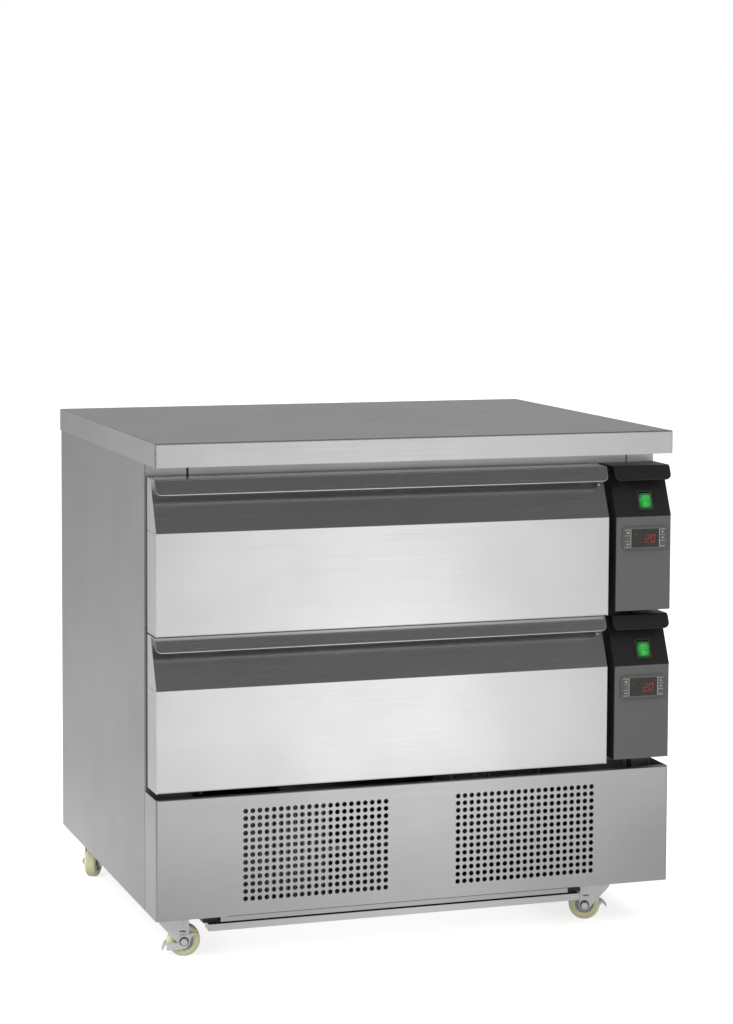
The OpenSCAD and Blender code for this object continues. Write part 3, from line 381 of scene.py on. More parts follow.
def glowing(name, colour, strength, feature_mm):
    """Lit plastic: its own colour with the uneven glow of the lamp behind it."""
    material, tree, coords = new_material(name)
    glow = add(tree, "ShaderNodeTexNoise", inputs=blotchy(coords["Object"], feature_mm, detail=1))
    amount = add(tree, "ShaderNodeMapRange", inputs=stretched(glow.outputs["Fac"], 0, 1)).outputs["Result"]
    lit = add(tree, "ShaderNodeMix", {"data_type": "RGBA"}, toned(amount, colour, 0.7, 1.25)).outputs[2]
    shade(tree, {"Roughness": 0.3, "Emission Strength": strength, "Base Color": lit, "Emission Color": lit})
    return material


def rocker_glow(name, colour, centre):
    """Green polycarbonate rocker lit from behind: brightest over the lamp, darker towards its rim."""
    lamp_r = 2 * MM
    rim_r = 15 * MM
    material, tree, coords = new_material(name)
    ends = {0: coords["Object"], 1: centre}
    away = add(tree, "ShaderNodeVectorMath", {"operation": "DISTANCE"}, ends).outputs["Value"]
    fall = {"Value": away, "From Min": lamp_r, "From Max": rim_r, "To Min": 1.0, "To Max": 0.0}
    near = add(tree, "ShaderNodeMapRange", inputs=fall).outputs["Result"]
    lit = add(tree, "ShaderNodeMix", {"data_type": "RGBA"}, toned(near, colour, 0.3, 1.9)).outputs[2]
    shade(tree, {"Roughness": 0.3, "Emission Strength": 0.35, "Base Color": lit, "Emission Color": lit})
    return material


def foam_block(name, colour):
    """Rigid polyurethane foam with its fine cells cut open. They are drawn 1.6 mm wide, so that they show."""
    cell_mm = 1.6
    material, tree, coords = new_material(name)
    cells = {"Vector": coords["Object"], "Scale": per_mm(cell_mm)}
    pores = add(tree, "ShaderNodeTexVoronoi", inputs=cells).outputs["Distance"]
    tint = add(tree, "ShaderNodeMix", {"data_type": "RGBA"}, toned(pores, colour, 0.8, 1.05))
    pits = add(tree, "ShaderNodeBump", inputs=relief(pores, 0.3))
    patterns = {"Base Color": tint.outputs[2], "Normal": pits.outputs["Normal"]}
    shade(tree, {"Roughness": 0.95, "Specular IOR Level": 0.2, **patterns})
    return material


def castor_polyamide(name, tyre, core, centre, axle):
    """Castor wheel of cream polyamide, slightly see-through, on a grey core, with a yellowed groove."""
    wheel_r = 26 * MM
    groove = [t * share for t, share in zip(tyre, (0.84, 0.8, 0.55))]
    worn = [t * 0.85 for t in tyre]
    # Rings from the axle out to the tread, each at a share of the wheel's radius
    rings = (
        (0.0, core), (0.575, core), (0.585, groove), (0.62, tyre), (0.76, tyre), (0.79, groove),
        (0.82, tyre), (0.97, tyre), (1.0, worn),
    )
    material, tree, coords = new_material(name)
    arm = add(tree, "ShaderNodeVectorMath", {"operation": "SUBTRACT"}, {0: coords["Object"], 1: centre})
    spun = add(tree, "ShaderNodeVectorMath", {"operation": "CROSS_PRODUCT"}, {0: arm.outputs[0], 1: axle})
    radius = add(tree, "ShaderNodeVectorMath", {"operation": "LENGTH"}, {0: spun.outputs[0]})
    reach = {"Value": radius.outputs["Value"], "From Max": wheel_r}
    outward = add(tree, "ShaderNodeMapRange", inputs=reach).outputs["Result"]
    bands = set_stops(add(tree, "ShaderNodeValToRGB", inputs={0: outward}), rings)
    grain = add(tree, "ShaderNodeTexNoise", inputs=blotchy(coords["Object"], 2.2, detail=3)).outputs["Fac"]
    bumps = add(tree, "ShaderNodeBump", inputs=relief(grain, 0.04))
    clear = {"Roughness": 0.38, "Subsurface Weight": 0.15, "Subsurface Scale": 2 * MM, "IOR": 1.53}
    shade(tree, {"Base Color": bands, "Normal": bumps.outputs["Normal"], **clear})
    return material


def paint(material, *names):
    """Gives CAD nodes a finish, in the slots that they have."""
    for name in names:
        for place in NODES[name].material_slots:
            place.material = material


def both(*stems):
    """The upper and lower node of each stem."""
    return [f"{stem}_{level}" for stem in stems for level in LEVELS]


def finishes():
    return bpy.context.scene.counter_finishes


def details():
    return bpy.context.scene.counter_details


def deselect_all():
    bpy.ops.object.select_all(action="DESELECT")


def place_in_mesh(piece):
    """Applies a piece's move, turn and scale, so that its object sits at the origin."""
    deselect_all()
    piece.select_set(True)
    bpy.context.view_layer.objects.active = piece
    bpy.ops.object.transform_apply(location=True, rotation=True, scale=True)
    return piece


def select_faces(piece, wanted):
    """In edit mode, selects the faces that the test wants, and no others."""
    mesh = bmesh.from_edit_mesh(piece.data)
    bpy.ops.mesh.select_mode(type="FACE")
    for face in mesh.faces:
        face.select_set(bool(wanted(face)))
    mesh.select_flush_mode()
    bmesh.update_edit_mesh(piece.data)


def set_at(piece, matrix):
    """Moves and turns a new piece to its place, and fixes it there."""
    piece.matrix_world = matrix
    return place_in_mesh(piece)


def copy_at(piece, matrix):
    """A copy with its own mesh, moved and turned to its place and fixed there."""
    twin = piece.copy()
    twin.data = piece.data.copy()
    bpy.context.scene.collection.objects.link(twin)
    return set_at(twin, matrix)


def joined(pieces, name):
    """Several pieces as one mesh."""
    deselect_all()
    for piece in pieces:
        piece.select_set(True)
    bpy.context.view_layer.objects.active = pieces[0]
    bpy.ops.object.join()
    whole = bpy.context.view_layer.objects.active
    whole.name = name
    whole.data.name = name
    return whole


def put_on(piece, body, material):
    """Finishes a piece and fixes it to the body that carries it."""
    piece.data.materials.clear()
    piece.data.materials.append(material)
    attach(piece, body)


def remove(piece):
    bpy.data.objects.remove(piece, do_unlink=True)


def front_middle(low, high):
    """The middle of a box's front face."""
    return Vector(((low.x + high.x) / 2, low.y, (low.z + high.z) / 2))


def display_centre(level):
    """The middle of a display's front face, for pieces that lie on it."""
    low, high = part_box("display_windows")
    halfway = (low.z + high.z) / 2
    heights = [v.co.z for v in NODES["display_windows"].data.vertices]
    own = [z for z in heights if (z > halfway) == (level == "upper")]
    return Vector(((low.x + high.x) / 2, low.y, (min(own) + max(own)) / 2))


def beside(centre, right_mm, up_mm):
    """A place beside a centre on a face that looks to the front."""
    return centre + Vector((right_mm * MM, 0, up_mm * MM))


# The pointed ends of a digit's bar, as shares of its width: how far they reach, and how wide they end
BAR_POINT = 0.45
BAR_TIP = 0.15

# The lit bars of a digit, from the top round and then the middle
LIT_BARS = {"0": "1111110", "2": "1101101", "8": "1111111"}
DIGIT_SLANT = math.radians(8)

# The small prints and lamps: the rims of dots and arrows as shares of their width, the rise of their faces as
# a share of their depth, an arrow's height as a share of its width, and a bar's soft edge of its least side
DOT_RIM = 0.15
ARROW_RIM = 0.12
FACE_RISE = 0.2
ARROW_SQUAT = 0.75
BAR_EDGE = 0.3


def led_bar(length, width, depth):
    """One bar of a digit, along X: a thin block whose two ends are drawn out to points."""
    deselect_all()
    bpy.ops.mesh.primitive_cube_add(size=1, scale=(length - width, depth, width))
    bar = place_in_mesh(bpy.context.object)
    bpy.ops.object.mode_set(mode="EDIT")
    for side in (-1, 1):
        select_faces(bar, lambda face: face.normal.x * side > 0.9)
        reach = (side * width * BAR_POINT, 0, 0)
        bpy.ops.mesh.extrude_region_move(TRANSFORM_OT_translate={"value": reach})
        bpy.ops.transform.resize(value=(1, 1, BAR_TIP))
    bpy.ops.object.mode_set(mode="OBJECT")
    return bar


def digit_bars(bar, centre, digit):
    """Copies of a bar at the lit places of one slanted seven-bar digit."""
    sizes = details()
    half_w = (sizes.digit_width - sizes.segment_width) / 2
    half_h = (sizes.digit_height - sizes.segment_width) / 2
    places = [
        (0, half_h, False),
        (half_w, half_h / 2, True),
        (half_w, -half_h / 2, True),
        (0, -half_h, False),
        (-half_w, -half_h / 2, True),
        (-half_w, half_h / 2, True),
        (0, 0, False),
    ]
    bars = []
    for lit, (x, z, upright) in zip(LIT_BARS[digit], places):
        if lit == "1":
            at = centre + Vector((x + z * math.tan(DIGIT_SLANT), 0, z))
            turn = Matrix.Rotation(DIGIT_SLANT - math.pi / 2 if upright else 0, 4, "Y")
            bars.append(copy_at(bar, Matrix.Translation(at) @ turn))
    return bars


def round_dot(centre, diameter, depth):
    """A small lamp: a disc with a rounded front edge, facing the front."""
    deselect_all()
    bpy.ops.mesh.primitive_cylinder_add(
        vertices=24, radius=diameter / 2, depth=depth, location=centre, rotation=(math.pi / 2, 0, 0)
    )
    dot = place_in_mesh(bpy.context.object)
    bpy.ops.object.mode_set(mode="EDIT")
    select_faces(dot, lambda face: face.normal.y < -0.9)
    bpy.ops.mesh.inset(thickness=diameter * DOT_RIM, depth=depth * FACE_RISE)
    bpy.ops.object.mode_set(mode="OBJECT")
    return dot


def printed_arrow(centre, size, up, depth):
    """A small printed triangle, pointing up or down."""
    deselect_all()
    bpy.ops.mesh.primitive_cylinder_add(vertices=3, radius=size, depth=depth)
    arrow = bpy.context.object
    arrow.rotation_euler = (math.pi / 2, 0 if up else math.pi, 0)
    arrow.location = centre
    arrow.scale = (1, ARROW_SQUAT, 1)
    place_in_mesh(arrow)
    bpy.ops.object.mode_set(mode="EDIT")
    select_faces(arrow, lambda face: face.normal.y < -0.9)
    bpy.ops.mesh.inset(thickness=size * ARROW_RIM, depth=depth * FACE_RISE)
    bpy.ops.object.mode_set(mode="OBJECT")
    return arrow


def soft_bar(centre, width, height, depth):
    """A small bar with softened edges, facing the front."""
    deselect_all()
    bpy.ops.mesh.primitive_cube_add(size=1, location=centre, scale=(width, depth, height))
    bar = place_in_mesh(bpy.context.object)
    bpy.ops.object.mode_set(mode="EDIT")
    bpy.ops.mesh.select_all(action="SELECT")
    bpy.ops.mesh.bevel(offset=min(width, height, depth) * BAR_EDGE, segments=2)
    bpy.ops.object.mode_set(mode="OBJECT")
    return bar


def printed_ring(centre, radius, line):
    """A small printed ring, facing the front."""
    deselect_all()
    bpy.ops.mesh.primitive_torus_add(
        major_radius=radius,
        minor_radius=line / 2,
        major_segments=32,
        minor_segments=8,
        location=centre,
        rotation=(math.pi / 2, 0, 0),
    )
    return place_in_mesh(bpy.context.object)


# How far the cut edges of thin sheet are softened
SHEET_EDGE = 0.25 * MM


def thickened(sheet, thickness):
    """Gives a surface its sheet thickness, evenly to both sides, and softens the cut edges."""
    wall = sheet.modifiers.new("wall", "SOLIDIFY")
    wall.thickness = thickness
    wall.offset = 0
    soft = sheet.modifiers.new("edge", "BEVEL")
    soft.width = SHEET_EDGE
    soft.segments = 2
    for modifier in (wall, soft):
        bpy.ops.object.modifier_apply(modifier=modifier.name)
    bpy.ops.object.mode_set(mode="EDIT")
    bpy.ops.mesh.select_all(action="SELECT")
    bpy.ops.mesh.normals_make_consistent(inside=False)
    bpy.ops.object.mode_set(mode="OBJECT")
    return sheet


def cut_sheet(outline_mm, thickness):
    """A flat sheet part with an outline in X and Z: a filled ring of points, each moved to its place."""
    deselect_all()
    bpy.ops.mesh.primitive_circle_add(vertices=len(outline_mm), fill_type="NGON")
    sheet = bpy.context.object
    for point, (x, z) in zip(sheet.data.vertices, outline_mm):
        point.co = (x * MM, 0, z * MM)
    return thickened(sheet, thickness)


def folded_strip(profile_mm, from_y, to_y, thickness):
    """A strip folded along a profile in X and Z: a row of faces whose points are moved onto the profile."""
    deselect_all()
    bpy.ops.mesh.primitive_grid_add(x_subdivisions=len(profile_mm) - 1, y_subdivisions=1, size=2)
    strip = bpy.context.object
    last = len(profile_mm) - 1
    for point in strip.data.vertices:
        x, z = profile_mm[round((point.co.x + 1) / 2 * last)]
        point.co = (x * MM, to_y if point.co.y > 0 else from_y, z * MM)
    return thickened(strip, thickness)


def axle_frame(joint_name, turn):
    """A joint's place, with Y along its axis and Z up, turned about the axis."""
    joint = JOINTS[joint_name]
    along = Vector(joint["axis"])
    up = Vector((0, 0, 1))
    turned = Matrix((along.cross(up), along, up)).transposed().to_4x4()
    return Matrix.Translation(joint["pos_m"]) @ turned @ Matrix.Rotation(turn, 4, "Y")


def skin_frame(node, x, z):
    """The place on a node's front skin at X and Z, turned so that -Y looks out of the skin."""
    in_front = Vector((x, cad_box[0].y - 1, z))
    backwards = Vector((0, 1, 0))
    _, place, normal, _ = NODES[node].ray_cast(in_front, backwards)
    turn = (-backwards).rotation_difference(normal).to_matrix().to_4x4()
    return Matrix.Translation(place) @ turn


class COUNTER_OT_sheet_steel(Operator):
    """Brushes the stainless steel of the worktop, panels, drawer fronts and base"""

    bl_idname = "counter.sheet_steel"
    bl_label = "Sheet steel"

    def execute(self, context):
        tones = finishes()
        paint(brushed_stainless("worktop_304_brushed", tones.worktop, 0.25, 0.36), "worktop")
        paint(
            brushed_stainless("panel_304_brushed", tones.panel, 0.3, 0.42),
            "side_panel_left",
            "side_panel_right",
            "back_panel",
            "front_frame",
        )
        # The base's darker tone is painted shade from the floor close below it
        paint(brushed_stainless("base_304_brushed_painted_shade", tones.base, 0.26, 0.36), "base_front_panel")
        front_steel = brushed_stainless("front_304_brushed", tones.front, 0.2, 0.28)
        paint(front_steel, "drip_tray", *both("drawer_front"))
        return {"FINISHED"}


class COUNTER_OT_inner_steel(Operator):
    """Finishes the tubs, liners, drawer backs and runners"""

    bl_idname = "counter.inner_steel"
    bl_label = "Inner steel and runners"

    def execute(self, context):
        tones = finishes()
        paint(mill_stainless("liner_304_mill", tones.inside), "liners", *both("tub", "drawer_inner"))
        paint(
            zinc_plate("runner_zinc", tones.zinc),
            "runner_outer",
            "rivets_and_screws",
            *both("runner_inner", "runner_middle"),
        )
        # The foam's dark colour paints the shade in the seams between the skins
        paint(foam_block("polyurethane_foam_painted_shade", tones.foam), "insulation")
        paint(soft_pvc("gasket_pvc", tones.gasket), *both("gasket"))
        return {"FINISHED"}


class COUNTER_OT_machine(Operator):
    """Finishes the chassis, compressors, coils, fans and wiring"""

    bl_idname = "counter.machine"
    bl_label = "Machine base"

    def execute(self, context):
        tones = finishes()
        paint(powder_coat("chassis_powder_black", tones.chassis), "base_chassis", "compressors")
        paint(finned_metal("evaporator_fins", tones.evaporator, 0.35), "evaporators")
        paint(finned_metal("condenser_fins", tones.condenser, 0.45), "condensers")
        fans = moulded_plastic("fan_polyamide", tones.fan, 0.5, spark_mm=0.8, depth_mm=0.02)
        paint(fans, "fan_motors", "condenser_fan_left", "condenser_fan_right", *both("evaporator_fan"))
        paint(soft_pvc("cable_pvc", tones.cable), "wiring")
        return {"FINISHED"}


class COUNTER_OT_controls(Operator):
    """Finishes the control housings, plates, controllers, keys and switches"""

    bl_idname = "counter.controls"
    bl_label = "Controls"

    def execute(self, context):
        tones = finishes()
        paint(moulded_plastic("housing_abs_black", tones.housing, 0.36), "control_housings")
        paint(silk_lacquer("plate_lacquer_grey", tones.plate), "control_plates")
        paint(moulded_plastic("controller_abs_grey", tones.controller, 0.45), "controller_bodies")
        paint(smoked_acrylic("window_acrylic", tones.window), "display_windows")
        switch = moulded_plastic("switch_polyamide", tones.switch, 0.28, spark_mm=0.4, depth_mm=0.006)
        paint(switch, "switch_frames")
        keys = [f"key_{level}_{number}" for level in LEVELS for number in KEY_NUMBERS]
        paint(moulded_plastic("key_silicone", tones.key, 0.6), *keys)
        for level in LEVELS:
            centre = front_middle(*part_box(f"rocker_{level}"))
            paint(rocker_glow(f"rocker_polycarbonate_{level}", tones.rocker, centre), f"rocker_{level}")
        return {"FINISHED"}


class COUNTER_OT_base_trim(Operator):
    """Adds the flanges at the tray's ends and the dark lines that paint the shade in the joints round the
    base
    """

    bl_idname = "counter.base_trim"
    bl_label = "Tray flanges and base joints"

    def execute(self, context):
        self.paint_joint_shade()
        self.fold_tray_ends()
        return {"FINISHED"}

    def paint_joint_shade(self):
        """Dark beads that paint the shade in the gaps where the base sheet meets the two side panels, and
        where it meets the strip below it.
        """
        proud = 0.1 * MM
        overlap = 0.6 * MM
        width = 0.7 * MM
        below_seam = 0.2 * MM
        strip_depth = 5 * MM
        low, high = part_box("base_front_panel")
        seam_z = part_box("side_panel_left")[0].z
        beads = []
        for side in (low.x, high.x):
            bottom = Vector((side - proud, high.y - overlap, seam_z))
            beads.append(self.bead(bottom, Vector((side + proud, high.y + width, high.z))))
        strip_x = [v.co.x for v in NODES["base_front_panel"].data.vertices if v.co.z < seam_z - strip_depth]
        bottom = Vector((min(strip_x), low.y - proud, seam_z - below_seam))
        beads.append(self.bead(bottom, Vector((max(strip_x), low.y + proud, seam_z + width))))
        # Dark PVC beads paint the shade of the gaps, and the shadow line under the base
        shade_line = soft_pvc("joint_shade_line", finishes().shade_line)
        put_on(joined(beads, "base_joint_shade_line"), "cabinet", shade_line)

    def bead(self, low, high):
        """A dark line of painted shade that fills the space between two corners."""
        size = high - low
        return soft_bar((low + high) / 2, size.x, size.z, size.y)

    def fold_tray_ends(self):
        """The flanges that close the space between the tray's pan and the ends of its lip."""
        thickness = 0.8 * MM
        lip_depth = 23 * MM
        behind_lip_y = -0.2
        from_lip = 0.4 * MM
        from_end_mm = 0.6
        fold_mm = 3
        low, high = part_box("drip_tray")
        pan_x = [v.co.x for v in NODES["drip_tray"].data.vertices if v.co.y > behind_lip_y]
        top_mm = (high.z - thickness) / MM
        flanges = []
        for end, pan_side in ((low.x, min(pan_x)), (high.x, max(pan_x))):
            end_mm = end / MM + math.copysign(from_end_mm, pan_side - end)
            profile = ((end_mm, top_mm - fold_mm), (end_mm, top_mm), (pan_side / MM, top_mm))
            flanges.append(folded_strip(profile, low.y + from_lip, low.y + lip_depth, thickness))
        steel = bpy.data.materials["front_304_brushed"]
        put_on(joined(flanges, "tray_end_flanges"), "drip_tray", steel)


# The toe brakes, in the frame of their axle. The outlines are in millimetres of X and Z, and the places along
# the axle in metres: of the cheek's middle, and of the pedal's inner end
LEVER_CHEEK = (
    (-7, 10), (5, 12), (20, 14.5), (18.5, 12), (11, 5), (9, -4), (4, -11), (-6, -13), (-18, -14),
    (-28, -14), (-28, -2.5), (-18, -1.5), (-8, -1),
)
LEVER_PEDAL = ((-27.6, -2.5), (-31, -6), (-35, -13.5))
LEVER_T = 1.6 * MM
LEVER_Y = 15.1 * MM
PEDAL_END_Y = 9 * MM
BRAKE_UP = math.radians(15)

# The washer between the cheek and the bolt's head, and the one below the nut. Their black paints the dark
# rings of shade round the head and the nut
WASHER_R = 7.5 * MM
WASHER_BAND = 3.3 * MM
HEAD_WASHER_T = 0.2 * MM
HEAD_WASHER_GAP = 0.05 * MM
NUT_WASHER_T = 1.8 * MM


def axle_washer(axle, middle_y, thickness):
    """A washer on the axle: a disc with a bore."""
    deselect_all()
    bpy.ops.mesh.primitive_cylinder_add(
        vertices=40, radius=WASHER_R, depth=thickness, rotation=(math.pi / 2, 0, 0)
    )
    washer = place_in_mesh(bpy.context.object)
    bpy.ops.object.mode_set(mode="EDIT")
    select_faces(washer, lambda face: abs(face.normal.y) > 0.9)
    bpy.ops.mesh.inset(thickness=WASHER_BAND)
    bpy.ops.mesh.bridge_edge_loops()
    bpy.ops.object.mode_set(mode="OBJECT")
    return set_at(washer, axle @ Matrix.Translation((0, middle_y, 0)))


class COUNTER_OT_castors(Operator):
    """Finishes the castors' tyres and forks, and adds the toe brakes and the washers on their axles"""

    bl_idname = "counter.castors"
    bl_label = "Castors"

    def execute(self, context):
        tones = finishes()
        for corner in CORNERS:
            spin = JOINTS[f"{corner}_wheel_spin"]
            name = f"tyre_polyamide_{corner}"
            tyre = castor_polyamide(name, tones.tyre, tones.core, spin["pos_m"], spin["axis"])
            paint(tyre, f"castor_wheel_{corner}")
        zinc = zinc_plate("castor_zinc", tones.zinc)
        paint(zinc, *[f"castor_fork_{corner}" for corner in CORNERS])
        # The washers are parts of the castors, and their black paints the dark rings of shade round the heads
        # and nuts
        black = powder_coat("washer_black_painted_shade", tones.washer)
        for side, swing in (("left", 0), ("right", BRAKE_UP)):
            axle = axle_frame(f"brake_lever_{side}_press", swing)
            cheek_face_y = -LEVER_Y - LEVER_T / 2
            cheek = set_at(cut_sheet(LEVER_CHEEK, LEVER_T), axle @ Matrix.Translation((0, -LEVER_Y, 0)))
            pedal = set_at(folded_strip(LEVER_PEDAL, cheek_face_y, PEDAL_END_Y, LEVER_T), axle)
            lever = joined([cheek, pedal], f"toe_brake_{side}")
            put_on(lever, f"brake_lever_{side}", zinc)
            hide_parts(f"brake_lever_{side}")
            head_y = cheek_face_y - HEAD_WASHER_GAP - HEAD_WASHER_T / 2
            washers = [axle_washer(axle, head_y, HEAD_WASHER_T), axle_washer(axle, LEVER_Y, NUT_WASHER_T)]
            put_on(joined(washers, f"axle_washers_{side}"), f"castor_fork_front_{side}", black)
        return {"FINISHED"}


# Places on a display, in millimetres right of and above the middle of its window
UNITS_AT = (14, -1.2)
DOT_AT = (20.5, 10.3)
LAMP_AT = (-16.8, 6.5)
DOT_SHARE = 0.7


class COUNTER_OT_displays(Operator):
    """Adds the lit digits, the unlit bars and the status lamps of both displays"""

    bl_idname = "counter.displays"
    bl_label = "Displays"

    def execute(self, context):
        tones = finishes()
        sizes = details()
        proud = sizes.print_depth
        lit_red = glowing("digit_red", tones.digits, strength=0.4, feature_mm=6)
        # The unlit bars get a faint painted glow, though no lamp lies behind them
        unlit = glowing("digit_unlit_painted_glow", tones.unlit, strength=0.1, feature_mm=6)
        lamp_green = glowing("lamp_green", tones.lamp, strength=0.6, feature_mm=4)
        bar_length = sizes.digit_height / 2 - sizes.segment_width * BAR_POINT
        bar = led_bar(bar_length, sizes.segment_width, proud)
        step = Vector((sizes.digit_width + sizes.digit_gap, 0, 0))
        for level in LEVELS:
            face = display_centre(level) - Vector((0, proud / 2, 0))
            units = beside(face, *UNITS_AT)
            lit = digit_bars(bar, units, "0") + digit_bars(bar, units - step, "2")
            lit.append(round_dot(beside(face, *DOT_AT), sizes.lamp_dot * DOT_SHARE, proud))
            put_on(joined(lit, f"digits_{level}"), "cabinet", lit_red)
            ghosts = joined(digit_bars(bar, units - 2 * step, "8"), f"digits_unlit_{level}")
            put_on(ghosts, "cabinet", unlit)
            lamp = round_dot(beside(face, *LAMP_AT), sizes.lamp_dot, proud)
            lamp.name = f"status_lamp_{level}"
            put_on(lamp, "cabinet", lamp_green)
        remove(bar)
        return {"FINISHED"}


# The marks on the keys: two strokes, a ring, a bar and two arrows
STROKE_W = 1.7 * MM
STROKE_H = 2.4 * MM
STROKE_APART_MM = 2.6
RING_R = 1.7 * MM
RING_LINE = 0.08 * MM
BAR_W = 4.4 * MM
BAR_H = 1.3 * MM
ARROW_R = 2.3 * MM

# The printed lines: how far they stand off the keys and off the window
OFF_KEY = 0.6 * MM
OFF_WINDOW = 1.3 * MM

# The marks on a rocker: their heights as shares of its own, and their places right of its middle
UPPER_MARKS = 0.76
LOWER_MARKS = 0.26
UPPER_STROKES_MM = (-3.4, 0.6, 5.4)
LOWER_STROKE_MM = 5.4
LOWER_RING_MM = -1
ROCKER_LINE = 1 * MM
UPPER_STROKE_H = 4.6 * MM
LOWER_STROKE_H = 4 * MM
ROCKER_RING_R = 2.6 * MM


def key_mark(number, place, depth):
    """The mark printed on a key."""
    if number == 1:
        halves = (-STROKE_APART_MM / 2, STROKE_APART_MM / 2)
        return joined([soft_bar(beside(place, x, 0), STROKE_W, STROKE_H, depth) for x in halves], "strokes")
    if number == 2:
        return printed_ring(place, RING_R, RING_LINE)
    if number == 3:
        return soft_bar(place, BAR_W, BAR_H, depth)
    return printed_arrow(place, ARROW_R, number == 4, depth)


class COUNTER_OT_prints(Operator):
    """Adds the lines printed round the keys, and the marks on keys and rockers"""

    bl_idname = "counter.prints"
    bl_label = "Key and switch prints"

    def execute(self, context):
        tones = finishes()
        cream = moulded_plastic("print_cream", tones.print, 0.6)
        pale_green = glowing("print_pale_green", tones.rocker_print, strength=0.25, feature_mm=5)
        depth = details().print_depth
        for level in LEVELS:
            keys = [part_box(f"key_{level}_{number}") for number in KEY_NUMBERS]
            lines = joined(self.key_lines(keys), f"key_lines_{level}")
            put_on(lines, "cabinet", cream)
            for number, key in zip(KEY_NUMBERS, keys):
                mark = key_mark(number, front_middle(*key), depth)
                mark.name = f"key_mark_{level}_{number}"
                put_on(mark, f"key_{level}_{number}", cream)
            marks = joined(self.rocker_marks(f"rocker_{level}", depth), f"rocker_marks_{level}")
            put_on(marks, f"rocker_{level}", pale_green)
        return {"FINISHED"}

    def key_lines(self, keys):
        """An upright line on each side of the window, with rungs above, between and below the keys."""
        sizes = details()
        line, depth = sizes.print_line, sizes.print_depth
        window_low, window_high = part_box("display_windows")
        skin_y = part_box("controller_bodies")[0].y
        left, right = keys[:3], keys[3:]
        columns = (
            (left, left, window_low.x - OFF_WINDOW, left[0][0].x - OFF_KEY),
            (right, [*right, left[-1]], window_high.x + OFF_WINDOW, right[0][1].x + OFF_KEY),
        )
        lines = []
        for column, rung_keys, inner_x, outer_x in columns:
            rungs = [column[0][1].z + OFF_KEY] + [low.z - OFF_KEY for low, _ in rung_keys]
            for z in rungs:
                middle = Vector(((inner_x + outer_x) / 2, skin_y, z))
                lines.append(soft_bar(middle, abs(outer_x - inner_x), line, depth))
            middle = Vector((inner_x, skin_y, (rungs[0] + rungs[-1]) / 2))
            lines.append(soft_bar(middle, line, rungs[0] - rungs[-1], depth))
        return lines

    def rocker_marks(self, node, depth):
        """Three strokes on a rocker's upper face, and a ring and a stroke on its lower face."""
        low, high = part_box(node)
        middle_x = (low.x + high.x) / 2
        upper_z = low.z + (high.z - low.z) * UPPER_MARKS
        lower_z = low.z + (high.z - low.z) * LOWER_MARKS
        origin = Vector((0, 0, 0))
        marks = []
        for shift_mm in UPPER_STROKES_MM:
            stroke = soft_bar(origin, ROCKER_LINE, UPPER_STROKE_H, depth)
            marks.append(set_at(stroke, skin_frame(node, middle_x + shift_mm * MM, upper_z)))
        ring = printed_ring(origin, ROCKER_RING_R, ROCKER_LINE)
        marks.append(set_at(ring, skin_frame(node, middle_x + LOWER_RING_MM * MM, lower_z)))
        stroke = soft_bar(origin, ROCKER_LINE, LOWER_STROKE_H, depth)
        marks.append(set_at(stroke, skin_frame(node, middle_x + LOWER_STROKE_MM * MM, lower_z)))
        return marks


# The camera, solved from the straight edges of the photograph, and the frame of the photograph
CAMERA_AT = (-1.454, -4.4016, 1.225)
CAMERA_YAW = 0.3236
CAMERA_PITCH = 0.0779
CAMERA_ROLL = 0.0044
FOCAL_PX = 2701.2
IMAGE_H_PX = 1024
MIDDLE_ROW_PX = 400

# What steel mirrors of the sky: its brightness from the horizon up, and from the front to behind the counter
SKY_BY_HEIGHT = ((0.0, 0.76), (0.2, 0.66), (0.4, 0.18), (0.7, 0.09), (1.0, 0.3))
SKY_BY_DEPTH = ((0.0, 1.0), (0.45, 0.8), (0.75, 0.65), (1.0, 0.66))

# What steel mirrors of the floor: its brightness from near to far and from left to right, each over a stretch
# in metres, and how far the second one slants with the depth
FLOOR_BY_DEPTH = (
    (0.0, 1.5), (0.25, 1.3), (0.39, 0.85), (0.47, 1.15), (0.53, 0.95),
    (0.61, 0.38), (0.67, 0.62), (0.71, 0.58), (0.78, 0.38), (1.0, 0.38),
)
FLOOR_BY_SIDE = ((0.0, 0.0), (0.2, 0.65), (0.33, 0.7), (0.5, 1.2), (0.68, 0.47), (1.0, 0.33))
FLOOR_NEAR, FLOOR_FAR = -8.0, 4.0
FLOOR_LEFT, FLOOR_RIGHT = -1.62, 1.38
FLOOR_SLANT = 0.34

# The floor's paint in plain light and where steel mirrors it, and the glow that makes it white to the camera
FLOOR_PAINT = 0.6
FLOOR_PAINT_MIRRORED = 0.2
FLOOR_LIFT = 0.75

# The lamps: where each stands, the point that it is aimed at, and its side, in metres
KEY_LAMP = ((-2.8, -2.0, 2.7), (0, 0, 0.4), 1.8)
TOP_LAMP = ((0.3, 0.2, 3.4), (0, 0, 0.8), 2.2)
SIDE_LAMP = ((-1.5, 1.2, 0.45), (-0.4, -0.5, 0.4), 1.2)


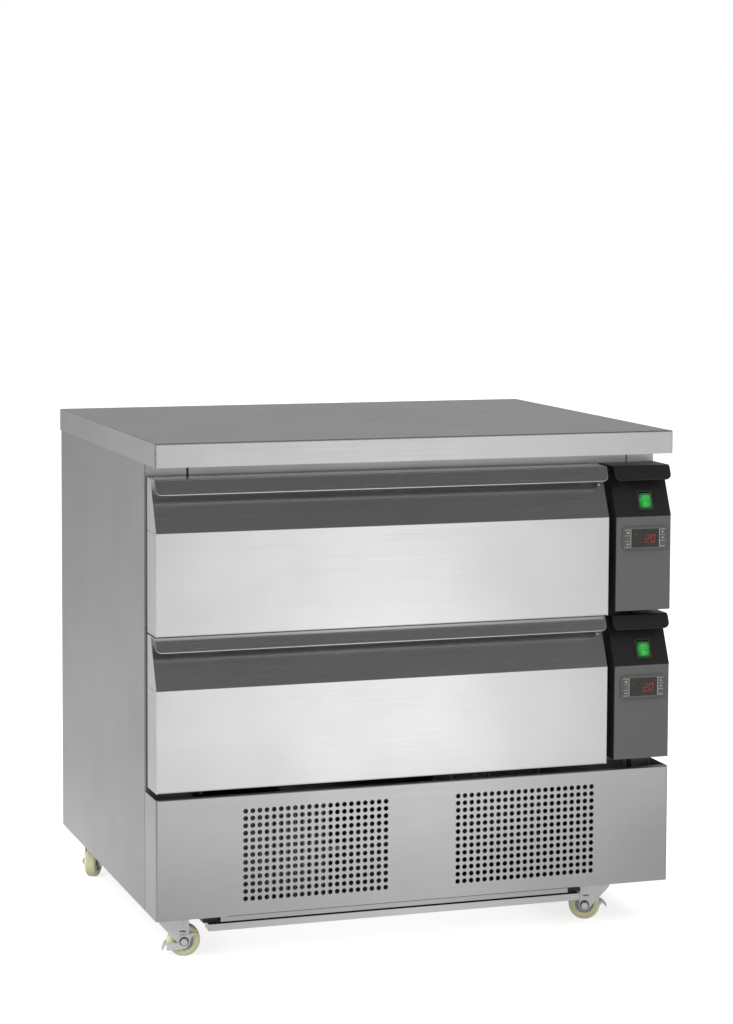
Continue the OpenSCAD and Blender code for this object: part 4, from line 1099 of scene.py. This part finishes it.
def photo_camera():
    """The camera at the photograph's place. Its view is shifted down to frame the counter, not sideways."""
    data = bpy.data.cameras.new("photo_camera")
    camera = bpy.data.objects.new("photo_camera", data)
    bpy.context.scene.collection.objects.link(camera)
    level_ahead = Vector((math.sin(CAMERA_YAW), math.cos(CAMERA_YAW), 0))
    level_right = Vector((math.cos(CAMERA_YAW), -math.sin(CAMERA_YAW), 0))
    ahead = level_ahead * math.cos(CAMERA_PITCH) - Vector((0, 0, math.sin(CAMERA_PITCH)))
    level_up = level_right.cross(ahead)
    right = level_right * math.cos(CAMERA_ROLL) + level_up * math.sin(CAMERA_ROLL)
    up = level_up * math.cos(CAMERA_ROLL) - level_right * math.sin(CAMERA_ROLL)
    axes = Matrix((right, up, -ahead)).transposed()
    camera.matrix_world = Matrix.Translation(CAMERA_AT) @ axes.to_4x4()
    data.lens = FOCAL_PX * data.sensor_width / IMAGE_H_PX
    data.shift_y = (MIDDLE_ROW_PX - IMAGE_H_PX / 2) / IMAGE_H_PX
    bpy.context.scene.camera = camera


def greys(stops):
    """Stops of a place and a brightness, as a colour ramp takes them."""
    return [(place, (grey, grey, grey)) for place, grey in stops]


def studio_sky(strength):
    """Even pale light, white to the camera. Steel mirrors it bright at the horizon and grey above."""
    world = bpy.data.worlds.new("studio_sky")
    bpy.context.scene.world = world
    world.use_nodes = True
    tree = world.node_tree
    tree.nodes.clear()
    rays = add(tree, "ShaderNodeLightPath").outputs
    towards = add(tree, "ShaderNodeTexCoord").outputs["Generated"]
    parts = add(tree, "ShaderNodeSeparateXYZ", inputs={0: towards}).outputs
    height = set_stops(add(tree, "ShaderNodeValToRGB", inputs={0: parts["Z"]}), greys(SKY_BY_HEIGHT))
    halved = {0: parts["Y"], 1: 0.5, 2: 0.5}
    backness = add(tree, "ShaderNodeMath", {"operation": "MULTIPLY_ADD"}, halved).outputs[0]
    depth = set_stops(add(tree, "ShaderNodeValToRGB", inputs={0: backness}), greys(SKY_BY_DEPTH))
    mirrored = add(tree, "ShaderNodeMath", {"operation": "MULTIPLY"}, {0: height, 1: depth}).outputs[0]
    by_gloss = {0: rays["Is Glossy Ray"], 2: strength, 3: mirrored}
    seen = add(tree, "ShaderNodeMix", {"data_type": "FLOAT"}, by_gloss).outputs[0]
    by_camera = {0: rays["Is Camera Ray"], 2: seen, 3: 1.0}
    shown = add(tree, "ShaderNodeMix", {"data_type": "FLOAT"}, by_camera).outputs[0]
    sky = add(tree, "ShaderNodeBackground", inputs={"Color": (1, 1, 1, 1), "Strength": shown})
    add(tree, "ShaderNodeOutputWorld", inputs={"Surface": sky.outputs[0]})


def floor_paint():
    """Pale paint that keeps the counter's shadow: white to the camera, and graded where steel mirrors it."""
    material, tree, coords = new_material("studio_floor_paint")
    rays = add(tree, "ShaderNodeLightPath").outputs
    parts = add(tree, "ShaderNodeSeparateXYZ", inputs={0: coords["Object"]}).outputs
    along = {"Value": parts["Y"], "From Min": FLOOR_NEAR, "From Max": FLOOR_FAR}
    depth = add(tree, "ShaderNodeMapRange", inputs=along).outputs["Result"]
    slant = {0: parts["Y"], 1: FLOOR_SLANT, 2: parts["X"]}
    slanted = add(tree, "ShaderNodeMath", {"operation": "MULTIPLY_ADD"}, slant).outputs[0]
    across = {"Value": slanted, "From Min": FLOOR_LEFT, "From Max": FLOOR_RIGHT}
    width = add(tree, "ShaderNodeMapRange", inputs=across).outputs["Result"]
    by_depth = set_stops(add(tree, "ShaderNodeValToRGB", inputs={0: depth}), greys(FLOOR_BY_DEPTH))
    by_side = set_stops(add(tree, "ShaderNodeValToRGB", inputs={0: width}), greys(FLOOR_BY_SIDE))
    mirrored = add(tree, "ShaderNodeMath", {"operation": "MULTIPLY"}, {0: by_depth, 1: by_side}).outputs[0]
    by_gloss = {0: mirrored, 1: rays["Is Glossy Ray"]}
    for_metal = add(tree, "ShaderNodeMath", {"operation": "MULTIPLY"}, by_gloss).outputs[0]
    by_camera = {0: rays["Is Camera Ray"], 1: FLOOR_LIFT, 2: for_metal}
    lift = add(tree, "ShaderNodeMath", {"operation": "MULTIPLY_ADD"}, by_camera).outputs[0]
    tones = {"Value": rays["Is Glossy Ray"], "To Min": FLOOR_PAINT, "To Max": FLOOR_PAINT_MIRRORED}
    tone = add(tree, "ShaderNodeMapRange", inputs=tones).outputs["Result"]
    paint_shader = add(tree, "ShaderNodeBsdfDiffuse", inputs={"Color": tone})
    glow = add(tree, "ShaderNodeEmission", inputs={"Strength": lift})
    whole = add(tree, "ShaderNodeAddShader", inputs={0: paint_shader.outputs[0], 1: glow.outputs[0]})
    add(tree, "ShaderNodeOutputMaterial", inputs={"Surface": whole.outputs[0]})
    return material


def pale_floor(size):
    """The wide floor that the counter stands on."""
    deselect_all()
    bpy.ops.mesh.primitive_plane_add(size=size)
    floor = bpy.context.object
    floor.name = "studio_floor"
    floor.data.materials.append(floor_paint())


def soft_lamp(name, place, target, side, power, mirrored=False):
    """A square soft lamp aimed at a point. Steel mirrors it only if asked."""
    data = bpy.data.lights.new(name, "AREA")
    data.shape = "SQUARE"
    data.size = side
    data.energy = power
    lamp = bpy.data.objects.new(name, data)
    bpy.context.scene.collection.objects.link(lamp)
    lamp.location = place
    lamp.visible_glossy = mirrored
    lamp.visible_camera = False
    lamp.rotation_euler = (Vector(target) - Vector(place)).to_track_quat("-Z", "Y").to_euler()


class COUNTER_OT_studio(Operator):
    """Sets up the pale floor, the soft lamps, the sky and the camera"""

    bl_idname = "counter.studio"
    bl_label = "Studio"

    def execute(self, context):
        studio = context.scene.counter_studio
        pale_floor(studio.floor_size)
        studio_sky(studio.sky)
        soft_lamp("key_lamp", *KEY_LAMP, studio.key_power)
        soft_lamp("top_lamp", *TOP_LAMP, studio.top_power)
        soft_lamp("side_lamp", *SIDE_LAMP, studio.side_power, mirrored=True)
        photo_camera()
        context.scene.view_settings.view_transform = "Standard"
        return {"FINISHED"}


STEPS = (
    COUNTER_OT_sheet_steel,
    COUNTER_OT_inner_steel,
    COUNTER_OT_machine,
    COUNTER_OT_controls,
    COUNTER_OT_base_trim,
    COUNTER_OT_castors,
    COUNTER_OT_displays,
    COUNTER_OT_prints,
    COUNTER_OT_studio,
)


class COUNTER_PT_panel(Panel):
    """Lists the counter's settings and the steps that build its looks"""

    bl_idname = "COUNTER_PT_panel"
    bl_label = "Drawer counter"
    bl_space_type = "VIEW_3D"
    bl_region_type = "UI"
    bl_category = "Counter"

    def draw(self, context):
        scene = context.scene
        for group in (scene.counter_finishes, scene.counter_details, scene.counter_studio):
            box = self.layout.box()
            for key in group.__annotations__:
                box.prop(group, key)
        for step in STEPS:
            self.layout.operator(step.bl_idname)


GROUPS = (
    ("counter_finishes", CounterFinishes),
    ("counter_details", CounterDetails),
    ("counter_studio", CounterStudio),
)


def register():
    for name, group in GROUPS:
        bpy.utils.register_class(group)
        setattr(bpy.types.Scene, name, PointerProperty(type=group))
    for cls in (*STEPS, COUNTER_PT_panel):
        bpy.utils.register_class(cls)


def unregister():
    for cls in (COUNTER_PT_panel, *reversed(STEPS)):
        bpy.utils.unregister_class(cls)
    for name, group in reversed(GROUPS):
        delattr(bpy.types.Scene, name)
        bpy.utils.unregister_class(group)


def main():
    register()
    bpy.ops.counter.sheet_steel()
    bpy.ops.counter.inner_steel()
    bpy.ops.counter.machine()
    bpy.ops.counter.controls()
    bpy.ops.counter.base_trim()
    bpy.ops.counter.castors()
    bpy.ops.counter.displays()
    bpy.ops.counter.prints()
    bpy.ops.counter.studio()


if __name__ == "__main__":
    main()
